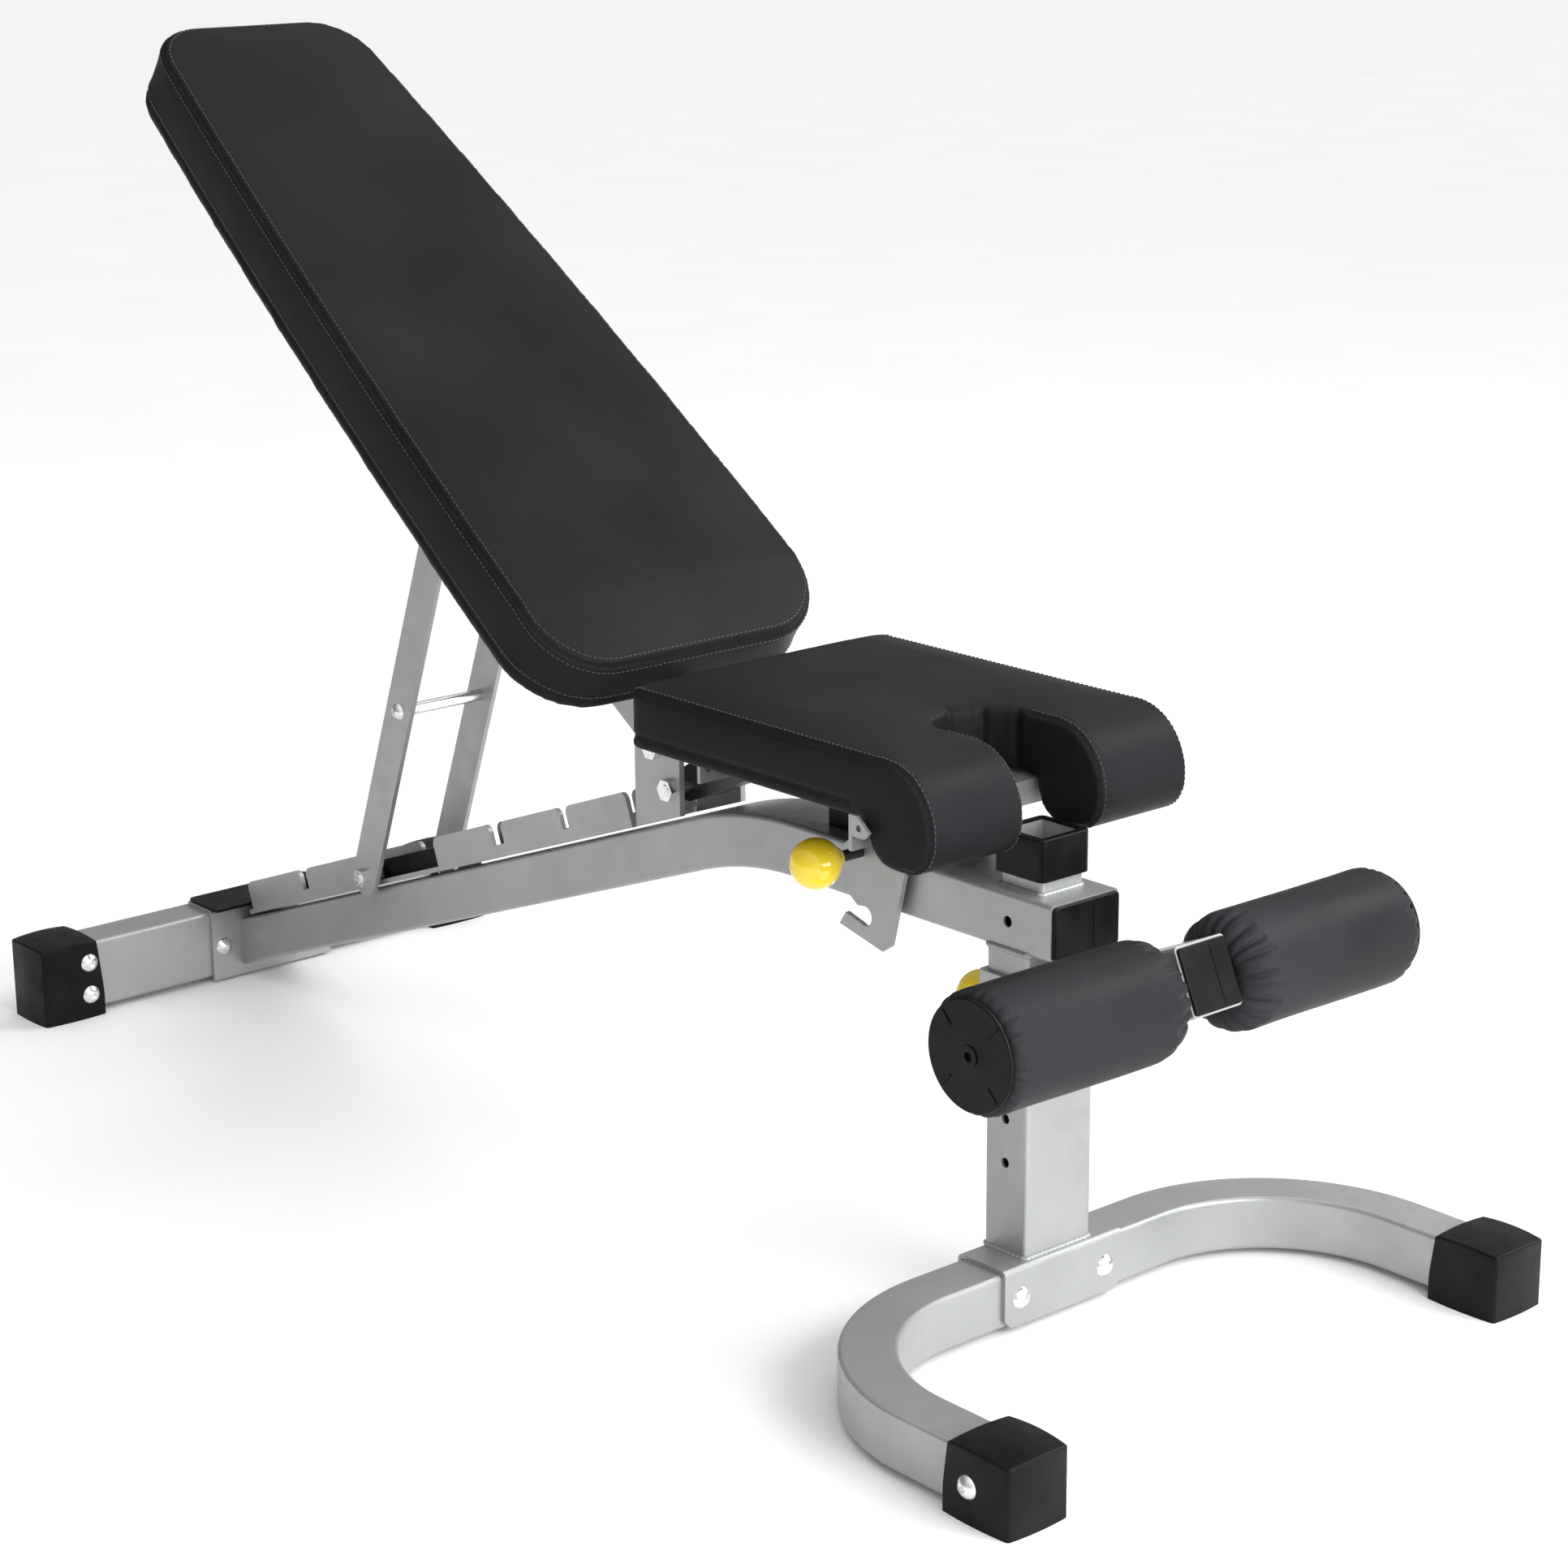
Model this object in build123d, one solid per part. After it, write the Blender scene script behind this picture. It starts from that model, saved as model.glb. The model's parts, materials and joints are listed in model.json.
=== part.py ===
"""Decline sit-up bench: tubular frame, hinged back and seat, ladder strut, rollers on a sliding carriage.

Frame: +X runs from the rear foot to the roller end, +Y across the bench, +Z up, millimetres.
Lengths along X are laid out from the post's axis, and the whole bench is then moved by SHIFT,
so that the origin is on the floor in the middle of the footprint.
"""
from build123d import *
from math import cos, sin, tan, radians
import os

# ---- driving dimensions ----
WALL = 2.5                   # tube wall
CLEAR = 0.4                  # gap between faces that slide or swing past each other

BASE = 50                    # square tube of the front base
BASE_Z = 6                   # underside of the base tubes above the floor
BASE_X = 4                   # base crosspiece axis ahead of the post axis
BASE_BEND = 160              # bend radius on the tube's axis
LEG_Y = 292                  # leg axis from the middle
LEG_END = 296                # front face of the front boots
BOOT_W = 68
BOOT_LONG = 77               # boot length at the floor
BOOT_SHORT = 67              # boot length at its top
BOOT_WALL = 4
BOOT_EDGE = 3.5              # rounding of a boot's edges
CROWN = 5                    # how far a boot's top rises in its middle
BOOT_BULGE = 2               # how far a boot's sides bow out in plan

REAR_X = -1243               # rear crosspiece axis
REAR_TUBE_X = 50
REAR_TUBE_Z = 75
REAR_BOOT_W = 71

PLATE = 4                    # saddle plate
SADDLE_LONG = 142
REAR_SADDLE_LONG = 154
SADDLE_BOLT_Y = 51

POST_X = 50
POST_Y = 80
POST_HOLE_PITCH = 40
POST_HOLE_R = 5.3
SIDE_HOLE_Z = (142, 182)

BEAM_Y = 80
BEAM_Z = 50
BEAM_LOW = 334               # underside of the level part of the beam
BEAM_FRONT = 50.5
CAP_RIB_Y = 8                # moulded rib on the beam's and the arm's plastic plugs
BEAM_KNEE = -348             # where the underside turns down
BEAM_SLOPE = 20.1            # degrees, rear part of the beam
BEAM_BEND = 400              # radius of the gentle bend

SOCKET = 50                  # square stub above the post
SOCKET_TOP = 431
COLLAR_LOW = 396
COLLAR_WALL = 4

RACK_SHEET = 5
RACK_TOOTH = 30              # tooth height above the rack's floor
RACK_SIDE = 8                # height of the side wall between close teeth
RACK_GAP = 30                # teeth closer than this are joined by a side wall
TEETH = ((-1179, -1073), (-1061, -958), (-820, -722), (-702, -606), (-594, -501))
TOOTH_ROUND = 8
LINER_X = (-1205, -822)
LINER_H = 20
LINER_Y = 56
LINER_PAD = 3                # thickness of the liner's rear end, over the saddle

BRACKET_X = (-499, -433)
BRACKET_T = 6
BRACKET_TOP = 436
BRACKET_ROUND = 30
BACK_HINGE = (-468, 416)     # X and Z
SEAT_HINGE = (-446, 380)
HINGE_R = 6

BACK_ANGLE = 35.7            # degrees above level
BACK_FACE = (-466.6, 546.5)  # X and Z of the datum on the back pad's top face
BACK_LOW = -43               # pad's lower end, along the back from the datum
BACK_HIGH = 866
BACK_HALF_LOW = 172
BACK_HALF_HIGH = 124
BACK_BOW = 10                # how far the long sides bow out at mid-length
BACK_ROUND = (72, 60)        # radii of the low and the high corners
PAD_DEPTH = 66
BOARD = 12
BACK_RAIL = 50
BACK_RAIL_LOW = -38
BACK_RAIL_HIGH = 640

LADDER_UP = 296              # ladder's pivot, along the back from the datum
LADDER_BAR_W = 40
LADDER_BAR_T = 5
LADDER_Y = 48.5              # inner face of each ladder bar
LADDER_FOOT = (-942.5, 181.8)
LADDER_PIN_R = 6
LADDER_RUNG = 0.43           # rung's place, from the foot to the pivot

SEAT_REAR = -368
SEAT_FRONT = 28
SEAT_HALF = 156
SEAT_LOW = 455
SEAT_TOP = 517
SEAT_LIP = 418               # lowest point of the two front lobes
SEAT_LIP_BACK = -56
SEAT_NOTCH_W = 84
SEAT_NOTCH_LONG = 138
SEAT_RAIL_Z = (408, 451)
SEAT_RAIL_HALF = 20
SEAT_CROSS_X = (-320, -80)
SEAT_CROSS_HALF = 126        # half length of the rear cross angle
SEAT_TAB_Y = 160             # inner face of the front angle's end tabs

LATCH_PIVOT = (-122, 416)
LATCH_Y = 46
LATCH_T = 5
LATCH_SLOT = (-166, 326)
LATCH_SLOT_R = 9
LATCH_ROD = (-171, 384)
KNOB_R = 23
LATCH_KNOB_Y = -103

CARRIAGE_Z = 266             # middle of the carriage sleeve
CARRIAGE_H = 90
SLEEVE = 5
PIN_R = 5
PULL_KNOB_X = -71
HOUSING = 7                  # length of the pull pin's bush
ARM_END = (190, 350)
ARM_RISE = 24                # degrees
ARM_Y = 58
ARM_H = 60
AXLE_BACK = 28               # axle behind the arm's end
AXLE_DROP = 4                # axle below the arm's middle
AXLE_R = 12
ROLLER_R = 51.5
CAP_R = 46.5
ROLLER_IN = 33
ROLLER_OUT = 239

SHIFT = -(LEG_END + REAR_X - REAR_BOOT_W / 2) / 2

os.makedirs("parts", exist_ok=True)


def save(shape, node):
    """Move a shape from the post's axis to the bench's origin and write it."""
    moved = Pos(SHIFT, 0, 0) * shape
    moved.label = node
    export_step(moved, f"parts/{node}.step")


def block(x0, x1, y0, y1, z0, z1):
    """Box between two corners."""
    return Pos((x0 + x1) / 2, (y0 + y1) / 2, (z0 + z1) / 2) * Box(x1 - x0, y1 - y0, z1 - z0)


def rod(x, z, y0, y1, r):
    """Round bar along Y."""
    return Pos(x, (y0 + y1) / 2, z) * Rot(90, 0, 0) * Cylinder(r, abs(y1 - y0))


def rod_x(x0, x1, y, z, r):
    """Round bar along X."""
    return Pos((x0 + x1) / 2, y, z) * Rot(0, 90, 0) * Cylinder(r, abs(x1 - x0))


def side_plate(face, y0, y1):
    """Extrude a face drawn in the XZ plane between two Y values."""
    return extrude(Pos(0, y0, 0) * face, amount=y1 - y0, dir=(0, 1, 0))


def side_face(points):
    """Closed polygon from (x, z) points, in the XZ plane."""
    return Polygon(*[(x, -z) for x, z in points], align=None).rotate(Axis.X, -90)


def rect_tube(width, height, wall=WALL):
    """Hollow rectangular section with rounded corners."""
    outer = RectangleRounded(width, height, 4)
    return outer - RectangleRounded(width - 2 * wall, height - 2 * wall, 1.5)


def dome_head(radius=10, height=5.5):
    """Domed screw head on the XY plane with a hexagonal socket, pointing along +Z."""
    ball = (radius ** 2 + height ** 2) / (2 * height)
    dome = Pos(0, 0, height - ball) * Sphere(ball)
    dome &= Pos(0, 0, height / 2) * Box(2 * radius, 2 * radius, height)
    return dome - Pos(0, 0, height) * extrude(RegularPolygon(radius * 0.34, 6), amount=-3)


def button_head(x, y, z, reach):
    """Button-head bolt along +X with its head seated at x."""
    return Pos(x, y, z) * Rot(0, 90, 0) * dome_head() + rod_x(x - reach, x, y, z, 4)


def end_head(x, y, z, radius=10):
    """Domed head of a bolt along Y, on the side of the bench that y is on."""
    return Pos(x, y, z) * Rot(-90 if y > 0 else 90, 0, 0) * dome_head(radius)


def beam_under(x):
    """Height of the beam's underside, before the bend is rounded."""
    return BEAM_LOW if x > BEAM_KNEE else BEAM_LOW - (BEAM_KNEE - x) * tan(radians(BEAM_SLOPE))


def beam_over(x):
    """Height of the sloping beam's top."""
    return beam_under(x) + BEAM_Z / cos(radians(BEAM_SLOPE))


def sloped_slab(x0, x1, low, high, half_y):
    """Block on the sloping beam, between two heights square to its top face."""
    ux, uz = cos(radians(BEAM_SLOPE)), sin(radians(BEAM_SLOPE))
    a = (x0, beam_over(x0))
    b = (x1, beam_over(x1))
    points = [(p[0] - uz * h, p[1] + ux * h) for p, h in ((a, low), (b, low), (b, high), (a, high))]
    return side_plate(side_face(points), -half_y, half_y)


def back_point(along, depth):
    """X and Z of a point along the back from its datum, and below its top face."""
    ux, uz = -cos(radians(BACK_ANGLE)), sin(radians(BACK_ANGLE))
    nx, nz = uz, -ux
    return (BACK_FACE[0] + ux * along - nx * depth, BACK_FACE[1] + uz * along - nz * depth)


def back_plane(depth):
    """Plane square to the back pad, X along the back and Z out of its top face."""
    x, z = back_point(0, depth)
    up = (-cos(radians(BACK_ANGLE)), 0, sin(radians(BACK_ANGLE)))
    return Plane(origin=(x, 0, z), x_dir=up, z_dir=(up[2], 0, -up[0]))


# ---- base ----
def base_frame():
    """U-shaped front base: crosspiece, two bends and two legs."""
    path = FilletPolyline(
        (LEG_END - BOOT_WALL - 1, -LEG_Y, 0),
        (BASE_X, -LEG_Y, 0),
        (BASE_X, LEG_Y, 0),
        (LEG_END - BOOT_WALL - 1, LEG_Y, 0),
        radius=BASE_BEND,
    )
    section = Plane(origin=path @ 0, x_dir=(0, 0, 1), z_dir=path % 0) * rect_tube(BASE, BASE)
    return Pos(0, 0, BASE_Z + BASE / 2) * sweep(section, path=path)


def bowed_outline(x0, x1, y0, y1):
    """Rectangle in plan whose four sides bow out to the given limits."""
    inset = BOOT_BULGE
    a, b = (x0 + inset, y0 + inset), (x1 - inset, y0 + inset)
    c, d = (x1 - inset, y1 - inset), (x0 + inset, y1 - inset)
    mid_x, mid_y = (x0 + x1) / 2, (y0 + y1) / 2
    return make_face([
        ThreePointArc(a, (mid_x, y0), b),
        ThreePointArc(b, (x1, mid_y), c),
        ThreePointArc(c, (mid_x, y1), d),
        ThreePointArc(d, (x0, mid_y), a),
    ])


def crowned(body, top):
    """Boot with bowed sides, a domed top that is `top` high at its corners, and soft edges."""
    box = body.bounding_box()
    plan = bowed_outline(box.min.X, box.max.X, box.min.Y, box.max.Y)
    body &= extrude(fillet(plan.vertices(), BOOT_EDGE), amount=box.max.Z)
    reach = ((box.size.X / 2) ** 2 + (box.size.Y / 2) ** 2) ** 0.5
    radius = (reach ** 2 + CROWN ** 2) / (2 * CROWN)
    body &= Pos(box.center().X, box.center().Y, top + CROWN - radius) * Sphere(radius)
    return fillet(body.faces().sort_by(Axis.Z)[-1].edges(), BOOT_EDGE - 1)


def front_boot(side):
    """Rubber boot on a front leg, longer at the floor than at its top."""
    top = BASE_Z + BASE + BOOT_WALL
    outline = side_face([
        (LEG_END, 0),
        (LEG_END, top + CROWN),
        (LEG_END - BOOT_SHORT, top + CROWN),
        (LEG_END - BOOT_LONG, 0),
    ])
    body = side_plate(outline, side * LEG_Y - BOOT_W / 2, side * LEG_Y + BOOT_W / 2)
    body = crowned(body, top)
    inside = block(0, LEG_END - BOOT_WALL - 1, side * LEG_Y - BASE / 2, side * LEG_Y + BASE / 2,
                   BASE_Z, BASE_Z + BASE)
    return body - inside


def front_boot_bolt(side):
    """Screw through the boot's outer side into the leg."""
    outer = side * (LEG_Y + BOOT_W / 2)
    inner = side * (LEG_Y + BASE / 2 - WALL)
    x = LEG_END - BOOT_SHORT + 22
    z = BASE_Z + BASE / 2
    return end_head(x, outer, z) + rod(x, z, inner, outer, 4)


def boot_bolt_hole(side):
    """Hole for the boot screw."""
    x = LEG_END - BOOT_SHORT + 22
    return rod(x, BASE_Z + BASE / 2, side * LEG_Y, side * (LEG_Y + BOOT_W), 4)


def front_saddle():
    """Plate folded over the crosspiece, under the post."""
    half = SADDLE_LONG / 2
    x0, x1 = BASE_X - BASE / 2, BASE_X + BASE / 2
    top = BASE_Z + BASE
    shell = block(x0 - PLATE, x1 + PLATE, -half, half, BASE_Z, top + PLATE)
    shell = fillet(shell.edges().filter_by(Axis.Y).group_by(Axis.Z)[-1], 5)
    shell = chamfer(shell.edges().filter_by(Axis.X).group_by(Axis.Z)[0], 8)
    return shell - block(x0, x1, -half, half, 0, top)


def rear_saddle():
    """Plate in front of the rear crosspiece, folded over its top."""
    half = REAR_SADDLE_LONG / 2
    face = REAR_X + REAR_TUBE_X / 2
    top = BASE_Z + REAR_TUBE_Z
    shell = block(face - 44, face + PLATE, -half, half, BASE_Z - 3, top + PLATE)
    shell = fillet(shell.edges().filter_by(Axis.Y).group_by(Axis.Z)[-1].group_by(Axis.X)[-1], 5)
    return shell - block(face - 60, face, -half, half, 0, top)


def rear_crosspiece():
    """Rectangular tube across the rear of the bench."""
    long = 2 * (LEG_Y - BOOT_WALL - 1)
    tube = extrude(Plane.XZ.offset(-long / 2) * rect_tube(REAR_TUBE_X, REAR_TUBE_Z), amount=long)
    return Pos(REAR_X, 0, BASE_Z + REAR_TUBE_Z / 2) * tube


def rear_boot(side):
    """Rubber boot on an end of the rear crosspiece."""
    far = side * LEG_Y
    top = side * (LEG_Y - BOOT_SHORT)
    low = side * (LEG_Y - BOOT_LONG)
    z1 = BASE_Z + REAR_TUBE_Z + BOOT_WALL - 1
    outline = Polyline((far, 0), (far, z1 + CROWN), (top, z1 + CROWN), (low, 0), close=True)
    face = Plane.YZ * make_face(outline)
    body = extrude(Pos(REAR_X - REAR_BOOT_W / 2, 0, 0) * face, amount=REAR_BOOT_W, dir=(1, 0, 0))
    body = crowned(body, z1)
    end = LEG_Y - BOOT_WALL - 1
    inside = block(REAR_X - REAR_TUBE_X / 2, REAR_X + REAR_TUBE_X / 2, min(0, side * end), max(0, side * end),
                   BASE_Z, BASE_Z + REAR_TUBE_Z)
    return body - inside


def rear_boot_screw_places(side):
    """Y and Z of the two screws in a rear boot's front face."""
    y = side * (LEG_Y - BOOT_SHORT + 10)
    return [(y, 26), (y, 62)]


def rear_boot_bolts(side):
    """Two screws in a rear boot."""
    face = REAR_X + REAR_BOOT_W / 2
    reach = (REAR_BOOT_W - REAR_TUBE_X) / 2 + WALL
    return Compound([button_head(face, y, z, reach) for y, z in rear_boot_screw_places(side)])


def bolt_holes_x(x0, x1, places, r=4):
    """Holes along X at several Y and Z."""
    return [rod_x(x0, x1, y, z, r) for y, z in places]


# ---- post, beam and socket ----
def post():
    """Upright that carries the beam, with a row of pin holes in its rear face."""
    low, high = BASE_Z + BASE + PLATE, BEAM_LOW
    tube = extrude(Pos(0, 0, low) * rect_tube(POST_X, POST_Y), amount=high - low)
    for step in range(4):
        tube -= rod_x(-POST_X / 2 - 1, 0, 0, CARRIAGE_Z - step * POST_HOLE_PITCH, POST_HOLE_R)
    for z in SIDE_HOLE_Z:
        tube -= rod(0, z, -POST_Y, POST_Y, 4.5)
    return tube


def main_beam():
    """Level front part, gentle bend and sloping rear part of the main tube."""
    mid = BEAM_LOW + BEAM_Z / 2
    slope = tan(radians(BEAM_SLOPE))
    knee = BEAM_KNEE + BEAM_Z / 2 * tan(radians(BEAM_SLOPE / 2))
    rear = REAR_X + REAR_TUBE_X / 2 - 40
    path = FilletPolyline(
        (BEAM_FRONT, 0, mid),
        (knee, 0, mid),
        (rear, 0, mid - (knee - rear) * slope),
        radius=BEAM_BEND,
    )
    section = Plane(origin=path @ 0, x_dir=(0, 1, 0), z_dir=path % 0) * rect_tube(BEAM_Y, BEAM_Z)
    tube = sweep(section, path=path)
    tube -= block(rear - 200, REAR_X + REAR_TUBE_X / 2 + PLATE, -200, 200, -200, 300)
    return tube - rod(0, BEAM_LOW + BEAM_Z / 2, -BEAM_Y, BEAM_Y, 5)


def beam_end_cap():
    """Plastic cap on the front end of the beam, with its plug inside the tube."""
    mid = BEAM_LOW + BEAM_Z / 2
    face = Pos(BEAM_FRONT, 0, mid) * (Plane.YZ * RectangleRounded(BEAM_Y - 3.5, BEAM_Z - 3.5, 4))
    cap = extrude(face, amount=4, dir=(1, 0, 0))
    cap = fillet(cap.faces().sort_by(Axis.X)[-1].edges(), 1.5)
    cap += block(BEAM_FRONT + 3, BEAM_FRONT + 4.5, CAP_RIB_Y - 0.8, CAP_RIB_Y + 0.8,
                 BEAM_LOW + 6, BEAM_LOW + BEAM_Z - 6)
    half_y = BEAM_Y / 2 - WALL - 0.1
    half_z = BEAM_Z / 2 - WALL - 0.1
    plug = block(BEAM_FRONT - 18, BEAM_FRONT, -half_y, half_y, mid - half_z, mid + half_z)
    plug = fillet(plug.edges().filter_by(Axis.X), 1.6)
    hollow = block(BEAM_FRONT - 18, BEAM_FRONT - 2, 2 - half_y, half_y - 2,
                   mid - half_z + 2, mid + half_z - 2)
    return cap + plug - hollow


def socket_stub():
    """Open square socket that stands on the beam over the post."""
    low = BEAM_LOW + BEAM_Z
    return extrude(Pos(0, 0, low) * rect_tube(SOCKET, SOCKET), amount=SOCKET_TOP - low)


def socket_collar():
    """Plastic collar around the mouth of the socket."""
    width = SOCKET + 2 * COLLAR_WALL
    ring = Pos(0, 0, COLLAR_LOW) * RectangleRounded(width, width, 6)
    body = extrude(ring, amount=SOCKET_TOP + 2 - COLLAR_LOW)
    body = fillet(body.faces().sort_by(Axis.Z)[-1].outer_wire().edges(), 1.5)
    tube_hole = extrude(Pos(0, 0, 0) * RectangleRounded(SOCKET, SOCKET, 4), amount=SOCKET_TOP)
    mouth = extrude(RectangleRounded(SOCKET - 2 * WALL, SOCKET - 2 * WALL, 1.5), amount=SOCKET_TOP + 50)
    return body - tube_hole - mouth


# ---- rack on the sloping beam ----
def rack_channel():
    """Folded channel on the beam: a floor with two rows of teeth that hold the ladder's foot."""
    half = BEAM_Y / 2 + 3
    x0 = TEETH[0][0] - 8
    x1 = TEETH[-1][1]
    rack = sloped_slab(x0, x1 - 1, 0, RACK_SHEET, half)
    for start, end in TEETH:
        tooth = sloped_slab(start, end, 0, RACK_SHEET + RACK_TOOTH, half)
        corners = tooth.edges().filter_by(Axis.Y)
        rear, front = corners.sort_by(Axis.X)[:2].sort_by(Axis.Z)[-1], corners.sort_by(Axis.Z)[-1]
        rack += fillet([rear, front], TOOTH_ROUND)
    for (_, end), (start, _) in zip(TEETH, TEETH[1:]):
        if start - end < RACK_GAP:
            rack += sloped_slab(end - 1, start + 1, 0, RACK_SHEET + RACK_SIDE, half)
    gap = sloped_slab(x0 - 50, x1 + 50, RACK_SHEET, 80, half - RACK_SHEET)
    return rack - gap


def rack_liner():
    """Rubber strip between the two rows of teeth, whose rear end spreads over the saddle."""
    top = BASE_Z + REAR_TUBE_Z + PLATE
    strip = sloped_slab(LINER_X[0], LINER_X[1], RACK_SHEET + 0.2, RACK_SHEET + LINER_H, LINER_Y / 2)
    strip -= block(-2000, REAR_X + REAR_TUBE_X / 2 + PLATE + 2, -200, 200, -100, top + 0.2)
    half = REAR_SADDLE_LONG / 2
    spread = block(REAR_X - 20, LINER_X[0] + 3, -half, half, top + 0.2, top + 0.2 + LINER_PAD)
    return strip + fillet(spread.edges().filter_by(Axis.Z).group_by(Axis.X)[0], 8)


# ---- hinge bracket ----
def hinge_bracket(side):
    """Upright plate on the beam with the back's and the seat's pivots."""
    x0, x1 = BRACKET_X
    outline = side_face([
        (x0, beam_over(x0)),
        (x1, beam_over(x1)),
        (x1, BRACKET_TOP),
        (x0, BRACKET_TOP),
    ])
    y0 = side * (BEAM_Y / 2 - BRACKET_T)
    y1 = side * (BEAM_Y / 2)
    plate = side_plate(outline, min(y0, y1), max(y0, y1))
    plate = fillet(plate.edges().filter_by(Axis.Y).group_by(Axis.Z)[-1], BRACKET_ROUND)
    for x, z in (BACK_HINGE, SEAT_HINGE):
        plate -= rod(x, z, -100, 100, HINGE_R)
    return plate


def hinge_bolt(place):
    """Through bolt with a head and a nut, across the two bracket plates."""
    x, z = place
    outer = BEAM_Y / 2
    bolt = rod(x, z, -outer - 9, outer, HINGE_R)
    nut = side_plate(Pos(x, 0, z) * (Plane.XZ * RegularPolygon(11, 6)), -outer - 8, -outer)
    return bolt + end_head(x, outer, z, 11) + nut


def seat_stop():
    """Rubber block on the beam that the seat rail rests on."""
    stop = block(-252, -212, -18, 18, BEAM_LOW + BEAM_Z, SEAT_RAIL_Z[0] - 0.3)
    return fillet(stop.edges().filter_by(Axis.Z), 4)


# ---- back ----
def back_outline(inset=0):
    """Tapered outline of the back, with bowed long sides and round corners."""
    low, high = BACK_LOW + inset, BACK_HIGH - inset
    a, b = BACK_HALF_LOW - inset, BACK_HALF_HIGH - inset
    x, y = (low + high) / 2, (a + b) / 2 + BACK_BOW
    face = make_face([
        Line((low, -a), (low, a)),
        ThreePointArc((low, a), (x, y), (high, b)),
        Line((high, b), (high, -b)),
        ThreePointArc((high, -b), (x, -y), (low, -a)),
    ])
    face = fillet(face.vertices().group_by(Axis.X)[0], BACK_ROUND[0] - inset)
    return fillet(face.vertices().group_by(Axis.X)[-1], BACK_ROUND[1] - inset)


def back_pad():
    """Foam pad of the back, rounded all round its top and bottom edges."""
    body = extrude(back_plane(PAD_DEPTH) * back_outline(), amount=PAD_DEPTH)
    top_face = body.faces().sort_by(Axis(origin=(0, 0, 0), direction=back_plane(0).z_dir))[-1]
    return fillet(top_face.edges(), 20)


def back_board():
    """Plywood board under the back pad."""
    return extrude(back_plane(PAD_DEPTH + BOARD) * back_outline(8), amount=BOARD - 0.2)


def back_rail():
    """Tube under the back, with its two hinge lugs and the ladder's cross tube."""
    depth = PAD_DEPTH + BOARD + PLATE + BACK_RAIL / 2
    long = BACK_RAIL_HIGH - BACK_RAIL_LOW
    plane = back_plane(depth)
    section = Plane(origin=plane.origin + plane.x_dir * BACK_RAIL_LOW, x_dir=(0, 1, 0), z_dir=plane.x_dir)
    tube = extrude(section * rect_tube(BACK_RAIL, BACK_RAIL), amount=long)
    px, pz = ladder_pivot()
    tube -= rod(px, pz, -100, 100, 13)
    tube += rod(px, pz, -LADDER_Y + CLEAR, LADDER_Y - CLEAR, 13)
    tube += back_lug(1) + back_lug(-1)
    tube -= rod(px, pz, -100, 100, HINGE_R + 0.05)
    return tube - rod(BACK_HINGE[0], BACK_HINGE[1], -100, 100, HINGE_R + 0.05)


def back_lug(side):
    """Hinge lug on one side of the back rail."""
    depth = PAD_DEPTH + BOARD + PLATE
    points = [
        back_point(BACK_RAIL_LOW + 60, depth + 2),
        back_point(BACK_RAIL_LOW + 60, depth + BACK_RAIL - 2),
        (BACK_HINGE[0] - 12, BACK_HINGE[1] - 16),
        (BACK_HINGE[0] + 12, BACK_HINGE[1] + 16),
        back_point(BACK_RAIL_LOW, depth + 2),
    ]
    y0 = side * BACK_RAIL / 2
    y1 = side * (BACK_RAIL / 2 + 6)
    plate = side_plate(side_face(points), min(y0, y1), max(y0, y1))
    return plate + rod(BACK_HINGE[0], BACK_HINGE[1], y0, y1, 20)


def back_cross_plate(along):
    """Flat cross plate between the back rail and the board."""
    plane = back_plane(PAD_DEPTH + BOARD + PLATE)
    return extrude(plane * (Pos(along, 0, 0) * RectangleRounded(45, 220, 8)), amount=PLATE)


def ladder_pivot():
    """X and Z where the ladder hangs from the back rail, on the middle of the rail."""
    depth = PAD_DEPTH + BOARD + PLATE + BACK_RAIL / 2
    x, z = back_point(LADDER_UP, depth)
    return (x, z)


# ---- ladder ----
def ladder_bar(side):
    """Flat bar with rounded ends, from the rack to the back rail."""
    foot, top = LADDER_FOOT, ladder_pivot()
    long = ((top[0] - foot[0]) ** 2 + (top[1] - foot[1]) ** 2) ** 0.5
    lean = Vector(foot[0] - top[0], 0, foot[1] - top[1])
    plane = Plane(origin=((foot[0] + top[0]) / 2, side * LADDER_Y, (foot[1] + top[1]) / 2),
                  x_dir=lean, z_dir=(0, side, 0))
    bar = extrude(plane * SlotCenterToCenter(long, LADDER_BAR_W), amount=LADDER_BAR_T)
    for x, z in (foot, top, ladder_rung_place()):
        bar -= rod(x, z, -100, 100, HINGE_R if (x, z) == top else LADDER_PIN_R - 1)
    return bar


def ladder_rung_place():
    """X and Z of the ladder's rung."""
    foot, top = LADDER_FOOT, ladder_pivot()
    return (foot[0] + (top[0] - foot[0]) * LADDER_RUNG, foot[1] + (top[1] - foot[1]) * LADDER_RUNG)


def ladder_rung():
    """Rung bolt through both bars, with a round head at each end."""
    x, z = ladder_rung_place()
    outer = LADDER_Y + LADDER_BAR_T
    rung = rod(x, z, -LADDER_Y, LADDER_Y, LADDER_PIN_R) + rod(x, z, -outer, outer, LADDER_PIN_R - 1)
    for side in (-1, 1):
        rung += end_head(x, side * outer, z, 9)
    return rung


def ladder_foot(side):
    """Short stud on the inside of a bar, which rests on the rack between two teeth."""
    x, z = LADDER_FOOT
    inner = side * (BEAM_Y / 2 - 8)
    stud = rod(x, z, inner, side * LADDER_Y, LADDER_PIN_R)
    stud += rod(x, z, side * LADDER_Y, side * (LADDER_Y + LADDER_BAR_T + 10), LADDER_PIN_R - 1)
    nut_at = side * (LADDER_Y + LADDER_BAR_T)
    nut = Pos(x, nut_at, z) * Rot(-90 * side, 0, 0) * extrude(RegularPolygon(10, 6), amount=7)
    return stud + nut


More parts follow.
